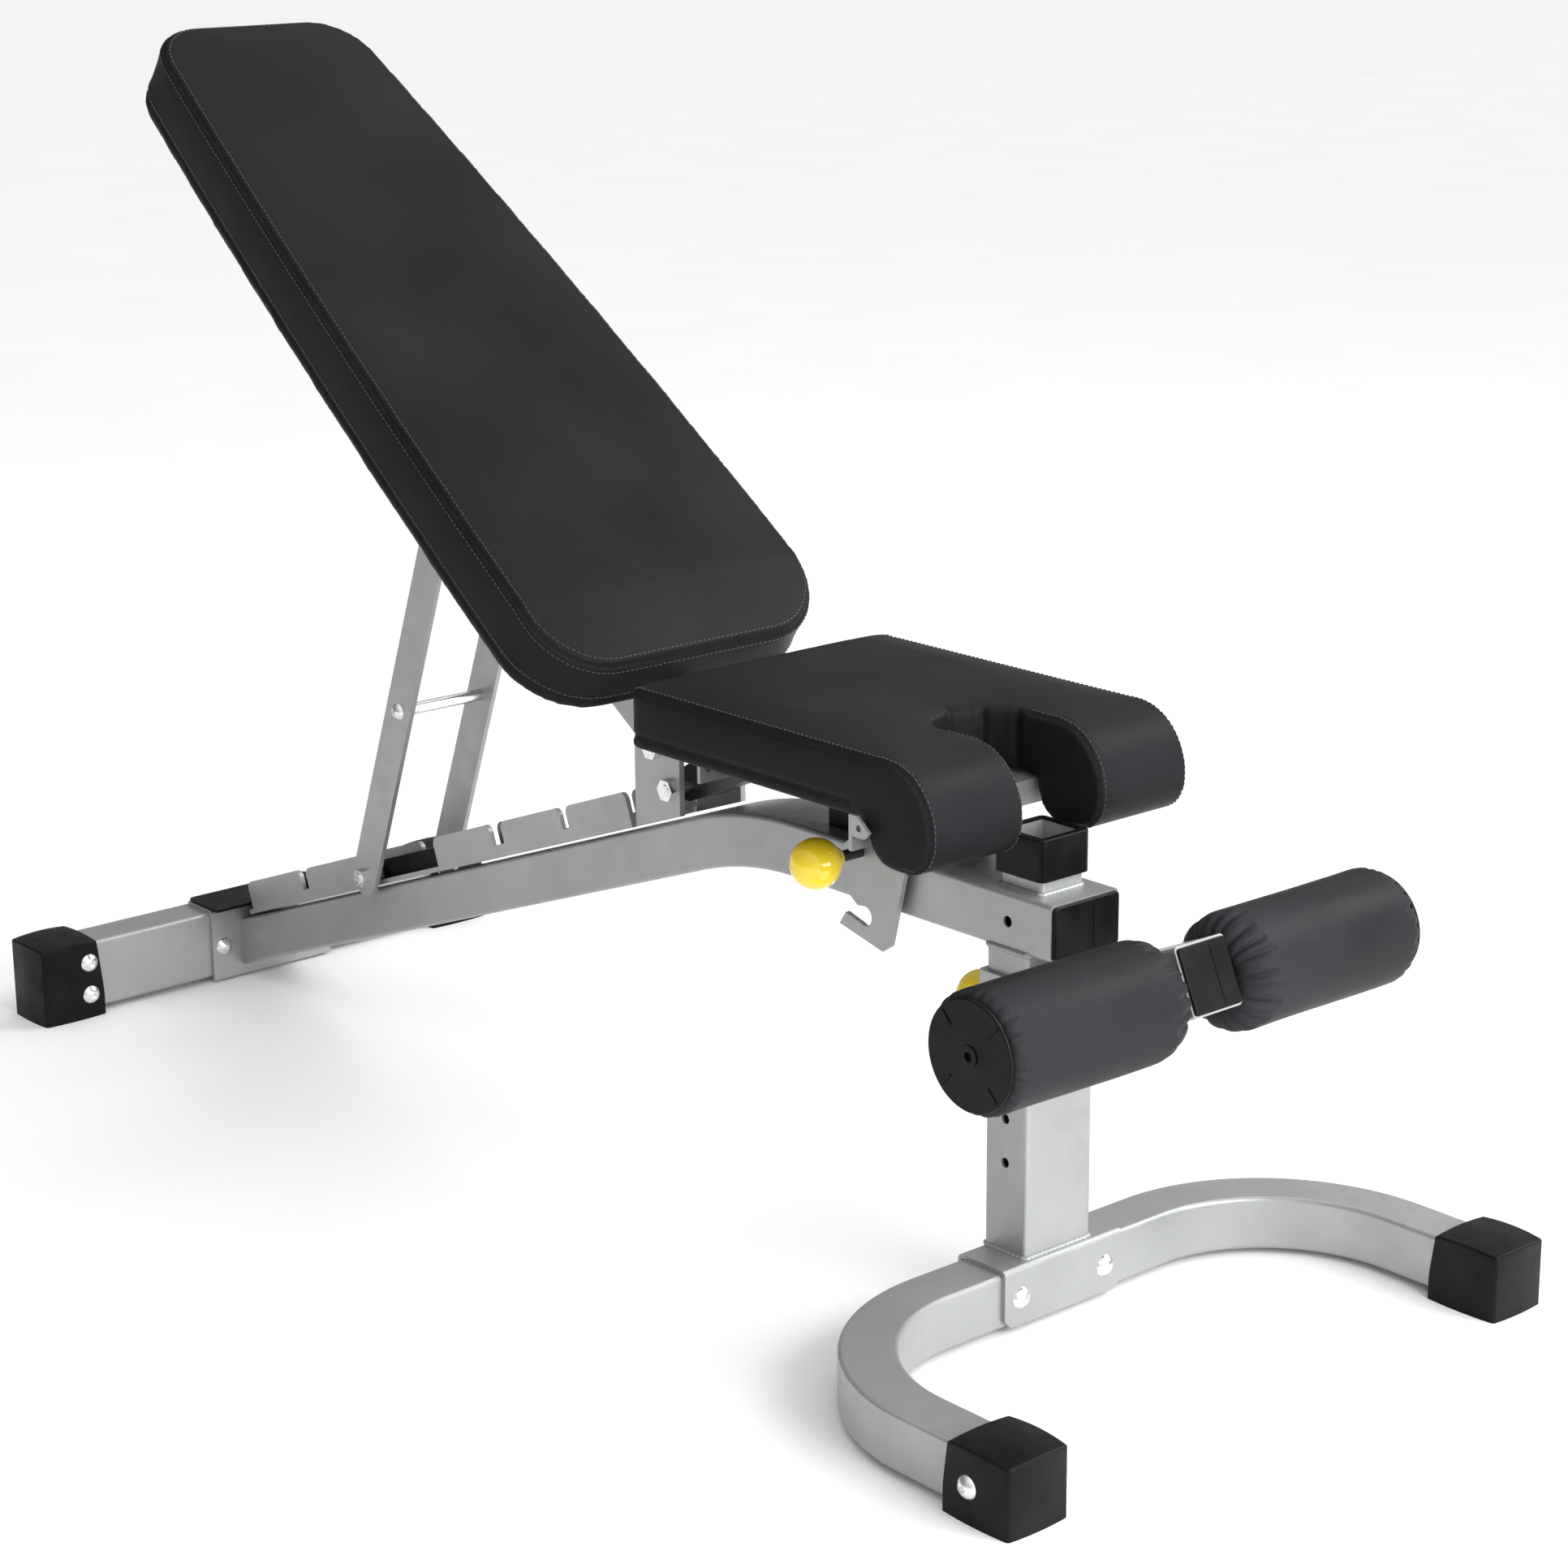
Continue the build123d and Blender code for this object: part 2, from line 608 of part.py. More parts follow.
def ladder_bolt():
    """Pivot bolt through the ladder bars and the cross tube."""
    x, z = ladder_pivot()
    outer = LADDER_Y + LADDER_BAR_T
    bolt = rod(x, z, -outer, outer, HINGE_R)
    for side in (-1, 1):
        bolt += end_head(x, side * outer, z)
    return bolt


# ---- seat ----
def seat_rail():
    """Rail under the seat: level in front, stepped down to the hinge at the rear."""
    low, high = SEAT_RAIL_Z
    x, z = SEAT_HINGE
    outline = side_face([
        (x - 8, z - 12),
        (x + 10, z - 12),
        (x + 96, low),
        (-66, low),
        (-66, high),
        (x + 86, high),
        (x - 14, z + 12),
    ])
    rail = side_plate(outline, -SEAT_RAIL_HALF, SEAT_RAIL_HALF)
    core = side_plate(offset(outline, -WALL), WALL - SEAT_RAIL_HALF, SEAT_RAIL_HALF - WALL)
    rail += rod(x, z, -SEAT_RAIL_HALF, SEAT_RAIL_HALF, 15)
    core -= rod(x, z, -SEAT_RAIL_HALF, SEAT_RAIL_HALF, 12)
    rail -= core
    px, pz = LATCH_PIVOT
    rail += rod(px, pz, -LATCH_Y + CLEAR, LATCH_Y - CLEAR, 11)
    rail -= rod(px, pz, -100, 100, HINGE_R + 0.05)
    return rail - rod(x, z, -100, 100, HINGE_R + 0.05)


def seat_cross(x, half):
    """Angle across the rail, under the board, with drilled ends."""
    top = SEAT_LOW - 0.2
    flat = block(x - 22, x + 22, -SEAT_CROSS_HALF + 20, SEAT_CROSS_HALF - 20, SEAT_RAIL_Z[1], top)
    web = block(x + 18, x + 22, -half, half, top - 22, top)
    slot = block(x - 30, x + 30, -SEAT_RAIL_HALF, SEAT_RAIL_HALF, 0, SEAT_RAIL_Z[1])
    ends = [rod_x(x, x + 40, side * (SEAT_CROSS_HALF - 10), top - 9, 4) for side in (-1, 1)]
    return flat + web - slot - ends


def seat_cross_front():
    """Front angle, with a pointed tab bent forward at each end, outside the pad."""
    x = SEAT_CROSS_X[1] + 18
    angle = seat_cross(SEAT_CROSS_X[1], SEAT_TAB_Y + 3)
    outline = side_face([(x, 446), (x + 18, 446), (x + 25, 452), (x + 10, 464), (x, 464)])
    for side in (-1, 1):
        tab = side_plate(outline, min(side * SEAT_TAB_Y, side * (SEAT_TAB_Y + 3)),
                         max(side * SEAT_TAB_Y, side * (SEAT_TAB_Y + 3)))
        angle += tab - rod(x + 12, 454, -300, 300, 3)
    return angle


def seat_board():
    """Board under the seat pad."""
    board = block(SEAT_REAR + 6, SEAT_LIP_BACK - 8, -SEAT_HALF + 6, SEAT_HALF - 6,
                  SEAT_LOW, SEAT_LOW + BOARD - 0.2)
    board = fillet(board.edges().filter_by(Axis.Z), 10)
    return board - seat_notch(4)


def seat_notch(extra=0):
    """The U-shaped notch between the lobes, as a solid to cut away."""
    half = SEAT_NOTCH_W / 2 + extra
    round_x = SEAT_FRONT - SEAT_NOTCH_LONG + SEAT_NOTCH_W / 2
    straight = block(round_x, SEAT_FRONT + 10, -half, half, SEAT_LIP - 10, SEAT_TOP + 10)
    return straight + Pos(round_x, 0, (SEAT_LIP + SEAT_TOP) / 2) * Cylinder(half, SEAT_TOP - SEAT_LIP + 20)


def seat_pad():
    """Foam pad of the seat: flat at the rear, rolled down into two lobes in front."""
    low = SEAT_LOW + BOARD
    profile = side_face([
        (SEAT_REAR, low),
        (SEAT_LIP_BACK, low),
        (SEAT_LIP_BACK, SEAT_LIP),
        (SEAT_FRONT, SEAT_LIP),
        (SEAT_FRONT, SEAT_TOP),
        (SEAT_REAR, SEAT_TOP),
    ])
    corners = profile.vertices()
    profile = fillet(corners.sort_by(Axis.X)[-2:].sort_by(Axis.Z)[-1:], 60)
    profile = fillet(profile.vertices().group_by(Axis.Z)[0], 36)
    body = side_plate(profile, -SEAT_HALF, SEAT_HALF)
    body -= seat_notch()
    rear = body.edges().filter_by(Axis.Z).group_by(Axis.X)[0]
    return fillet(rear, 16)


# ---- seat latch ----
def latch_plate(side):
    """Hook plate beside the beam, with an open slot near its lower end."""
    px, pz = LATCH_PIVOT
    sx, sz = LATCH_SLOT
    outline = side_face([
        (px + 20, pz + 8),
        (px + 6, 372),
        (-133, 306),
        (-143, 299),
        (-199, 312),
        (-191, 324),
        (sx, sz - LATCH_SLOT_R),
        (sx, sz + LATCH_SLOT_R),
        (-175, 334),
        (-193, 346),
        (-193, 386),
        (px - 26, pz + 8),
    ])
    y0 = side * LATCH_Y
    y1 = side * (LATCH_Y + LATCH_T)
    plate = side_plate(outline, min(y0, y1), max(y0, y1))
    plate += rod(px, pz, y0, y1, 20)
    plate -= rod(sx, sz, y0, y1, LATCH_SLOT_R)
    return plate - rod(px, pz, -100, 100, HINGE_R)


def latch_bolt():
    """Pivot bolt of the latch."""
    px, pz = LATCH_PIVOT
    outer = LATCH_Y + LATCH_T
    bolt = rod(px, pz, -outer, outer, HINGE_R)
    for side in (-1, 1):
        bolt += end_head(px, side * outer, pz)
    return bolt


def latch_rod():
    """Handle rod that stands out of the near hook plate."""
    x, z = LATCH_ROD
    return rod(x, z, -LATCH_Y - LATCH_T, LATCH_KNOB_Y, 5)


def latch_knob():
    """Ball knob on the handle rod."""
    x, z = LATCH_ROD
    ball = Pos(x, LATCH_KNOB_Y, z) * Sphere(KNOB_R)
    neck = rod(x, z, LATCH_KNOB_Y, LATCH_KNOB_Y + KNOB_R + 3, 9)
    return ball + neck - rod(x, z, LATCH_KNOB_Y, 0, 5)


# ---- roller carriage ----
def carriage_sleeve():
    """Sleeve that slides on the post."""
    inner_x, inner_y = POST_X + 2 * CLEAR, POST_Y + 2 * CLEAR
    ring = RectangleRounded(inner_x + 2 * SLEEVE, inner_y + 2 * SLEEVE, 6)
    ring -= RectangleRounded(inner_x, inner_y, 4)
    sleeve = extrude(Pos(0, 0, CARRIAGE_Z - CARRIAGE_H / 2) * ring, amount=CARRIAGE_H)
    return sleeve - rod_x(-100, 0, 0, CARRIAGE_Z, PIN_R + 0.05)


def arm_plane(along):
    """Plane across the roller arm, measured back from its end."""
    ux, uz = cos(radians(ARM_RISE)), sin(radians(ARM_RISE))
    origin = (ARM_END[0] - ux * along, 0, ARM_END[1] - uz * along)
    return Plane(origin=origin, x_dir=(0, 1, 0), z_dir=(ux, 0, uz))


def axle_place():
    """X and Z of the roller axle."""
    origin = arm_plane(AXLE_BACK).origin
    return (origin.X, origin.Z - AXLE_DROP)


def roller_arm():
    """Tube that rises from the sleeve to the rollers."""
    long = 230
    arm = extrude(arm_plane(long) * rect_tube(ARM_Y, ARM_H), amount=long)
    face = POST_X / 2 + CLEAR + SLEEVE
    arm -= block(-200, face, -100, 100, 0, 500)
    x, z = axle_place()
    return arm - rod(x, z, -100, 100, AXLE_R)


def arm_plug():
    """Plastic plug in the arm's open end."""
    inner_y, inner_h = ARM_Y - 2 * WALL - 0.2, ARM_H - 2 * WALL - 0.2
    plug = extrude(arm_plane(10) * RectangleRounded(inner_y, inner_h, 1.6), amount=10)
    face = extrude(arm_plane(0) * RectangleRounded(ARM_Y - 3.5, ARM_H - 3.5, 3), amount=3)
    rib = extrude(arm_plane(0) * (Pos(CAP_RIB_Y, 0, 0) * Rectangle(1.6, ARM_H - 12)), amount=3.5)
    return plug + fillet(face.faces().sort_by(Axis.X)[-1].edges(), 1) + rib


def roller_axle():
    """Axle through the arm, with a shoulder beside it on each side."""
    x, z = axle_place()
    return rod(x, z, -ROLLER_OUT + 2, ROLLER_OUT - 2, AXLE_R)


def foam_roller(side):
    """Foam sleeve on the axle."""
    x, z = axle_place()
    body = rod(x, z, side * ROLLER_IN, side * ROLLER_OUT, ROLLER_R)
    body = fillet(body.edges().filter_by(GeomType.CIRCLE), 8)
    return body - rod(x, z, -400, 400, AXLE_R + 6)


def roller_core(side):
    """Plastic tube that the foam is glued to, turning on the axle, closed by a flat end cap."""
    x, z = axle_place()
    tube = rod(x, z, side * ROLLER_IN, side * ROLLER_OUT, AXLE_R + 5.9)
    cap = rod(x, z, side * (ROLLER_OUT + 0.2), side * (ROLLER_OUT + 4), CAP_R)
    cap = fillet(cap.edges().filter_by(GeomType.CIRCLE), 1.5)
    for angle in range(45, 360, 90):
        mark = Pos(0, 0, CAP_R * 0.78) * Box(2, 1.2, CAP_R * 0.3)
        cap += Pos(x, side * (ROLLER_OUT + 4.4), z) * Rot(0, angle, 0) * mark
    cap += rod(x, z, side * (ROLLER_OUT + 3), side * (ROLLER_OUT + 5.2), 9)
    cap -= rod(x, z, side * (ROLLER_OUT + 1), side * (ROLLER_OUT + 6), 4)
    neck = rod(x, z, side * (ROLLER_OUT - 1), side * (ROLLER_OUT + 2), AXLE_R + 5.9)
    return tube + neck + cap - rod(x, z, -ROLLER_OUT + 1, ROLLER_OUT - 1, AXLE_R + 0.05)


def pin_housing():
    """Bush on the sleeve's rear face that guides the pull pin."""
    face = -(POST_X / 2 + CLEAR + SLEEVE)
    return rod_x(face - HOUSING, face, 0, CARRIAGE_Z, 10) - rod_x(-100, 0, 0, CARRIAGE_Z, PIN_R + 0.05)


def pull_pin():
    """Pin that locks the carriage to a hole in the post, drawn back clear of the post."""
    return rod_x(PULL_KNOB_X, -POST_X / 2 - CLEAR / 2, 0, CARRIAGE_Z, PIN_R)


def pull_knob():
    """Ball knob on the pull pin."""
    ball = Pos(PULL_KNOB_X, 0, CARRIAGE_Z) * Sphere(KNOB_R)
    return ball - rod_x(PULL_KNOB_X, 0, 0, CARRIAGE_Z, PIN_R)


# ---- write every piece ----
SIDES = {"near": -1, "far": 1}

base = base_frame()
front_holes = bolt_holes_x(BASE_X, 100, [(-SADDLE_BOLT_Y, 31), (SADDLE_BOLT_Y, 31)])
rear_places = [(-62, 40), (62, 40)]
crosspiece = rear_crosspiece() - bolt_holes_x(REAR_X, 0, rear_places)
for name, side in SIDES.items():
    base -= boot_bolt_hole(side)
    crosspiece -= bolt_holes_x(REAR_X, 0, rear_boot_screw_places(side))
    save(front_boot(side) - boot_bolt_hole(side), f"front_boot_{name}")
    save(front_boot_bolt(side), f"front_boot_screw_{name}")
    boot = rear_boot(1) if side > 0 else mirror(rear_boot(1), about=Plane.XZ)
    save(boot - bolt_holes_x(REAR_X, 0, rear_boot_screw_places(side)), f"rear_boot_{name}")
    save(rear_boot_bolts(side), f"rear_boot_screws_{name}")
    front_bolt = button_head(BASE_X + BASE / 2 + PLATE, side * SADDLE_BOLT_Y, 31, PLATE + WALL)
    rear_bolt = button_head(REAR_X + REAR_TUBE_X / 2 + PLATE, side * 62, 40, PLATE + WALL)
    save(front_bolt, f"saddle_bolt_{name}")
    save(rear_bolt, f"rear_saddle_bolt_{name}")
    save(hinge_bracket(side), f"hinge_bracket_{name}")
    save(ladder_bar(side), f"ladder_bar_{name}")
    save(ladder_foot(side), f"ladder_foot_{name}")
    save(latch_plate(side), f"latch_plate_{name}")
    save(foam_roller(side), f"foam_roller_{name}")
    save(roller_core(side), f"roller_core_{name}")
save(base - front_holes, "base_frame")
save(crosspiece, "rear_crosspiece")
save(front_saddle() - front_holes, "front_saddle")
save(rear_saddle() - bolt_holes_x(REAR_X, 0, rear_places), "rear_saddle")
save(post(), "post")
save(main_beam(), "main_beam")
save(beam_end_cap(), "beam_end_cap")
save(socket_stub(), "socket_stub")
save(socket_collar(), "socket_collar")
save(rack_channel(), "rack_channel")
save(rack_liner(), "rack_liner")
save(hinge_bolt(BACK_HINGE), "back_hinge_bolt")
save(hinge_bolt(SEAT_HINGE), "seat_hinge_bolt")
save(seat_stop(), "seat_stop")
save(back_pad(), "back_pad")
save(back_board(), "back_board")
save(back_rail(), "back_rail")
save(back_cross_plate(60), "back_plate_low")
save(back_cross_plate(560), "back_plate_high")
save(ladder_rung(), "ladder_rung")
save(ladder_bolt(), "ladder_bolt")
save(seat_rail(), "seat_rail")
save(seat_cross(SEAT_CROSS_X[0], SEAT_CROSS_HALF), "seat_cross_rear")
save(seat_cross_front(), "seat_cross_front")
save(seat_board(), "seat_board")
save(seat_pad(), "seat_pad")
save(latch_bolt(), "latch_bolt")
save(latch_rod(), "latch_rod")
save(latch_knob(), "latch_knob")
save(carriage_sleeve(), "carriage_sleeve")
save(roller_arm(), "roller_arm")
save(arm_plug(), "arm_plug")
save(roller_axle(), "roller_axle")
save(pin_housing(), "pin_housing")
save(pull_pin(), "pull_pin")
save(pull_knob(), "pull_knob")
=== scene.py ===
"""Looks of the decline sit-up bench: materials for the CAD frame, and detailed soft pieces built round it.

+X runs from the rear foot to the leg rollers, +Y across the bench, +Z up, metres.
"near" is the -Y side of the bench and "far" the +Y side.
"""
import json
import math
import random

import bmesh
import bpy
from mathutils import Matrix, Vector, kdtree, noise
from mathutils.bvhtree import BVHTree


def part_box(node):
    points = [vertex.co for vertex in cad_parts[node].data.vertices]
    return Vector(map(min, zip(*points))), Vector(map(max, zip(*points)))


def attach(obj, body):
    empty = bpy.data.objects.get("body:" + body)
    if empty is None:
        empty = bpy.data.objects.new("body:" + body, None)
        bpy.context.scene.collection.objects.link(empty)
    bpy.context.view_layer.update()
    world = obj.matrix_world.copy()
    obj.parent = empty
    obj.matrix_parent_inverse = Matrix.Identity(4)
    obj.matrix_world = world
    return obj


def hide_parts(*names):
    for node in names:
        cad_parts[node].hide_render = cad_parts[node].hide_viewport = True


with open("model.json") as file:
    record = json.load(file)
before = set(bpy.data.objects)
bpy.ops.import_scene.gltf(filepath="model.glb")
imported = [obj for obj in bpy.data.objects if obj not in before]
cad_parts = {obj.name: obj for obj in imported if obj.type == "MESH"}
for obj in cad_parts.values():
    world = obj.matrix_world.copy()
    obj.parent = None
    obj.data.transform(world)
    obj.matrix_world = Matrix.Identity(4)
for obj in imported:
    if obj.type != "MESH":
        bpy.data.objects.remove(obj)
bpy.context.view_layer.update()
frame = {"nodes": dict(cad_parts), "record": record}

NODES = frame["nodes"]
SIDES = {"near": -1, "far": 1}

BACK_ANGLE = math.radians(35.7)      # the back's slope above level
BACK_UP = Vector((-math.cos(BACK_ANGLE), 0, math.sin(BACK_ANGLE)))
BACK_OUT = Vector((math.sin(BACK_ANGLE), 0, math.cos(BACK_ANGLE)))
ACROSS = Vector((0, 1, 0))

BACK_HALF = (0.172, 0.124)           # the back's half width at its foot and at its top, at its square corners
BACK_BOW = 0.010                     # how far its long sides bow out at mid-length
BACK_ROUND = (0.072, 0.060)          # radii of its corners at the foot and at the top
CREASE_UP = 0.083                    # the crease across the back's face, from its lower end
FACE_DROP = 0.014                    # how far the face slopes away below the crease
LOW_SEAM = 0.003                     # the lower seam, above the board
RING_POINTS = 480                    # points round the back's outline

SEAT_NOTCH_HALF = 0.042
SEAT_NOTCH_LONG = 0.138              # how far the notch reaches back from the lobes' front
LOBE_UNDER, LOBE_OVER = 0.036, 0.060  # radii of a lobe's underside and of its top
SEAM_STEP = 0.004                    # spacing of the points along the pads' seams

ROLLER_HOLE = 0.0185                 # radius left open round the axle
ROLLER_STATIONS = 110
ROLLER_SEGMENTS = 264

SKY_LEAN = (0.60, 0.22, 0.77)        # the sky is brightest this way
SKY_DIM, SKY_BRIGHT = 0.24, 1.36

post_low, post_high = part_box("post")
POST_X = (post_low.x + post_high.x) / 2


# ---------------------------------------------------------------- camera, floor, light

def camera():
    """Camera with a long lens, in front of the bench on its near side, at seated height."""
    azimuth, elevation, roll = math.radians(49.16), math.radians(15.92), math.radians(-0.49)
    distance, aim = 3.1673, Vector((POST_X - 0.3312, 0, 0.4016))
    back = Vector((math.sin(azimuth) * math.cos(elevation), -math.cos(azimuth) * math.cos(elevation),
                   math.sin(elevation)))
    right = Vector((math.cos(azimuth), math.sin(azimuth), 0))
    up = back.cross(right)
    right, up = (right * math.cos(roll) + up * math.sin(roll),
                 up * math.cos(roll) - right * math.sin(roll))
    cam = bpy.data.objects.new("camera", bpy.data.cameras.new("camera"))
    cam.data.sensor_width = 36
    cam.data.lens = 79.8
    turn = Matrix((right, up, back)).transposed().to_4x4()
    cam.matrix_world = Matrix.Translation(aim + back * distance) @ turn
    bpy.context.scene.collection.objects.link(cam)
    bpy.context.scene.camera = cam


def area_light(name, place, aim, size, power):
    """Soft square light pointed at a place."""
    lamp = bpy.data.lights.new(name, "AREA")
    lamp.size, lamp.energy = size, power
    ob = bpy.data.objects.new(name, lamp)
    ob.location = place
    ob.rotation_euler = (Vector(aim) - Vector(place)).to_track_quat("-Z", "Y").to_euler()
    bpy.context.scene.collection.objects.link(ob)


def studio():
    """Pale floor under a soft sky, with a low key light in front and another light on the far side."""
    bpy.context.scene.view_settings.view_transform = "Standard"
    world = bpy.data.worlds.new("studio")
    world.use_nodes = True
    tree = world.node_tree
    sky = tree.nodes["Background"]
    sky.inputs["Color"].default_value = (1, 1, 1, 1)
    toward = tree.nodes.new("ShaderNodeTexCoord").outputs["Generated"]
    lean = tree.nodes.new("ShaderNodeVectorMath")
    lean.operation = "DOT_PRODUCT"
    lean.inputs[1].default_value = SKY_LEAN
    tree.links.new(toward, lean.inputs[0])
    glow = tree.nodes.new("ShaderNodeMapRange")
    glow.interpolation_type = "SMOOTHSTEP"
    glow.inputs["From Min"].default_value = -0.35
    glow.inputs["From Max"].default_value = 1.0
    glow.inputs["To Min"].default_value = SKY_DIM
    glow.inputs["To Max"].default_value = SKY_BRIGHT
    tree.links.new(lean.outputs["Value"], glow.inputs["Value"])
    tree.links.new(glow.outputs["Result"], sky.inputs["Strength"])
    bpy.context.scene.world = world
    area_light("key", (3.0, 0.3, 1.4), (0, 0, 0.5), 2.0, 88)
    area_light("side", (1.4, 2.7, 2.7), (0, 0, 0.5), 1.6, 62)
    mesh = bpy.data.meshes.new("floor")
    reach = 60
    corners = [(-reach, -reach, 0), (reach, -reach, 0), (reach, reach, 0), (-reach, reach, 0)]
    mesh.from_pydata(corners, [], [(0, 1, 2, 3)])
    floor = bpy.data.objects.new("floor", mesh)
    bpy.context.scene.collection.objects.link(floor)
    f = Finish("floor", 0.8)
    f.colour(f.noise(3, 2), (0.93, 0.93, 0.93), (0.95, 0.95, 0.95))
    floor.data.materials.append(f.material)


# ---------------------------------------------------------------- materials

class Finish:
    """A material under construction: its shader, and short ways to add texture to it."""

    def __init__(self, name, roughness, metallic=0.0, coat=0.0, sheen=0.0, gloss=0.5):
        self.material = bpy.data.materials.new(name)
        self.material.use_nodes = True
        self.tree = self.material.node_tree
        self.shader = self.tree.nodes["Principled BSDF"]
        self.shader.inputs["Roughness"].default_value = roughness
        self.shader.inputs["Metallic"].default_value = metallic
        self.shader.inputs["Coat Weight"].default_value = coat
        self.shader.inputs["Sheen Weight"].default_value = sheen
        self.shader.inputs["Specular IOR Level"].default_value = gloss
        self.coords = self.tree.nodes.new("ShaderNodeTexCoord").outputs["Object"]
        self.height = None

    def node(self, kind, **inputs):
        made = self.tree.nodes.new(kind)
        for key, value in inputs.items():
            socket = made.inputs[key.replace("_", " ")]
            if isinstance(value, bpy.types.NodeSocket):
                self.tree.links.new(value, socket)
            else:
                socket.default_value = value
        return made

    def noise(self, scale, detail=3.0, stretch=(1, 1, 1)):
        mapped = self.node("ShaderNodeMapping", Vector=self.coords, Scale=stretch).outputs["Vector"]
        return self.node("ShaderNodeTexNoise", Vector=mapped, Scale=scale, Detail=detail).outputs["Fac"]

    def cells(self, scale, feature="F1"):
        made = self.node("ShaderNodeTexVoronoi", Vector=self.coords, Scale=scale)
        made.feature = feature
        return made.outputs["Distance"]

    def spread(self, value, low, high):
        """Map a 0 to 1 value to a range."""
        made = self.node("ShaderNodeMapRange", Value=value)
        made.inputs["From Min"].default_value = 0.3
        made.inputs["From Max"].default_value = 0.7
        made.inputs["To Min"].default_value = low
        made.inputs["To Max"].default_value = high
        return made.outputs["Result"]

    def colour(self, value, dark, light):
        ramp = self.node("ShaderNodeValToRGB", Fac=value)
        ramp.color_ramp.elements[0].position = 0.3
        ramp.color_ramp.elements[1].position = 0.7
        ramp.color_ramp.elements[0].color = (*dark, 1)
        ramp.color_ramp.elements[1].color = (*light, 1)
        self.tree.links.new(ramp.outputs["Color"], self.shader.inputs["Base Color"])

    def rough(self, value, low, high):
        self.tree.links.new(self.spread(value, low, high), self.shader.inputs["Roughness"])

    def bump(self, value, depth, strength=1.0):
        made = self.node("ShaderNodeBump", Height=value, Distance=depth, Strength=strength)
        if self.height is not None:
            self.tree.links.new(self.height, made.inputs["Normal"])
        self.height = made.outputs["Normal"]
        self.tree.links.new(self.height, self.shader.inputs["Normal"])


def silver_paint():
    """Metallic silver powder coat: fine orange peel and a faint unevenness of tone."""
    f = Finish("silver_paint", 0.4, metallic=0.6, coat=0.1)
    f.colour(f.noise(9, 4), (0.330, 0.337, 0.342), (0.385, 0.392, 0.397))
    f.rough(f.noise(60, 3), 0.36, 0.48)
    f.bump(f.noise(700, 2), 0.00012, 0.35)
    return f.material


def zinc():
    """Bright zinc plating with fine turning marks."""
    f = Finish("zinc", 0.25, metallic=1.0)
    f.colour(f.noise(120, 3), (0.74, 0.74, 0.73), (0.90, 0.90, 0.88))
    f.rough(f.noise(300, 3), 0.16, 0.34)
    f.bump(f.noise(1500, 2), 0.00008, 0.3)
    return f.material


def rubber():
    """Moulded black rubber with a satin skin."""
    f = Finish("rubber", 0.42, gloss=0.10)
    f.colour(f.noise(25, 4), (0.004, 0.004, 0.0044), (0.009, 0.009, 0.0095))
    f.rough(f.noise(40, 4), 0.30, 0.52)
    f.bump(f.noise(420, 3), 0.0002, 0.5)
    return f.material


def black_plastic():
    """Injection-moulded black plastic with a light spark texture."""
    f = Finish("black_plastic", 0.35, gloss=0.12)
    f.colour(f.noise(30, 3), (0.003, 0.0033, 0.0036), (0.007, 0.0073, 0.0077))
    f.rough(f.noise(35, 3), 0.26, 0.42)
    f.bump(f.cells(1100), 0.0001, 0.4)
    return f.material


def black_paint():
    """Black powder coat."""
    f = Finish("black_paint", 0.4, metallic=0.1)
    f.colour(f.noise(12, 3), (0.012, 0.012, 0.013), (0.025, 0.025, 0.026))
    f.rough(f.noise(60, 3), 0.32, 0.5)
    f.bump(f.noise(800, 2), 0.0001, 0.4)
    return f.material


def vinyl(name="vinyl", dark=(0.0085, 0.0091, 0.0102), light=(0.0140, 0.0148, 0.0164)):
    """Black upholstery vinyl: pebbled leather grain, broad unevenness of gloss."""
    f = Finish(name, 0.42, gloss=0.05)
    f.colour(f.noise(7, 5), dark, light)
    f.rough(f.noise(14, 5), 0.38, 0.52)
    f.bump(f.cells(520, "SMOOTH_F1"), 0.00035, 0.45)
    f.bump(f.noise(180, 5), 0.0003, 0.35)
    return f.material


def board():
    """Painted board edge with a faint grain."""
    f = Finish("board", 0.6)
    f.colour(f.noise(40, 4, (1, 1, 8)), (0.010, 0.009, 0.009), (0.026, 0.024, 0.022))
    f.rough(f.noise(80, 3), 0.5, 0.7)
    f.bump(f.noise(260, 4, (1, 6, 1)), 0.0003, 0.5)
    return f.material


def yellow_plastic():
    """Glossy yellow phenolic ball."""
    f = Finish("yellow_plastic", 0.16, coat=0.6)
    f.colour(f.noise(18, 3), (0.93, 0.66, 0.014), (0.97, 0.75, 0.03))
    f.rough(f.noise(50, 3), 0.12, 0.22)
    f.bump(f.noise(240, 2), 0.0001, 0.2)
    return f.material


def thread():
    """Black sewing thread, a shade lighter than the vinyl."""
    f = Finish("thread", 0.6, sheen=0.3)
    f.colour(f.noise(900, 2), (0.018, 0.018, 0.019), (0.04, 0.04, 0.042))
    f.bump(f.noise(2500, 2, (1, 1, 4)), 0.0001, 0.6)
    return f.material


MATERIALS = {
    "silver_paint": silver_paint(),
    "zinc": zinc(),
    "rubber": rubber(),
    "black_plastic": black_plastic(),
    "black_paint": black_paint(),
    "vinyl": vinyl(),
    "roller_cover": vinyl("roller_cover", (0.0165, 0.0174, 0.019), (0.026, 0.0273, 0.0298)),
    "board": board(),
    "yellow_plastic": yellow_plastic(),
}
THREAD = thread()


def dress_frame():
    """Give every CAD node the material of its slot."""
    for part in frame["record"]["subparts"]:
        node = NODES[part["node"]]
        node.data.materials.clear()
        node.data.materials.append(MATERIALS[part["material_slot"]])


# ---------------------------------------------------------------- mesh helpers

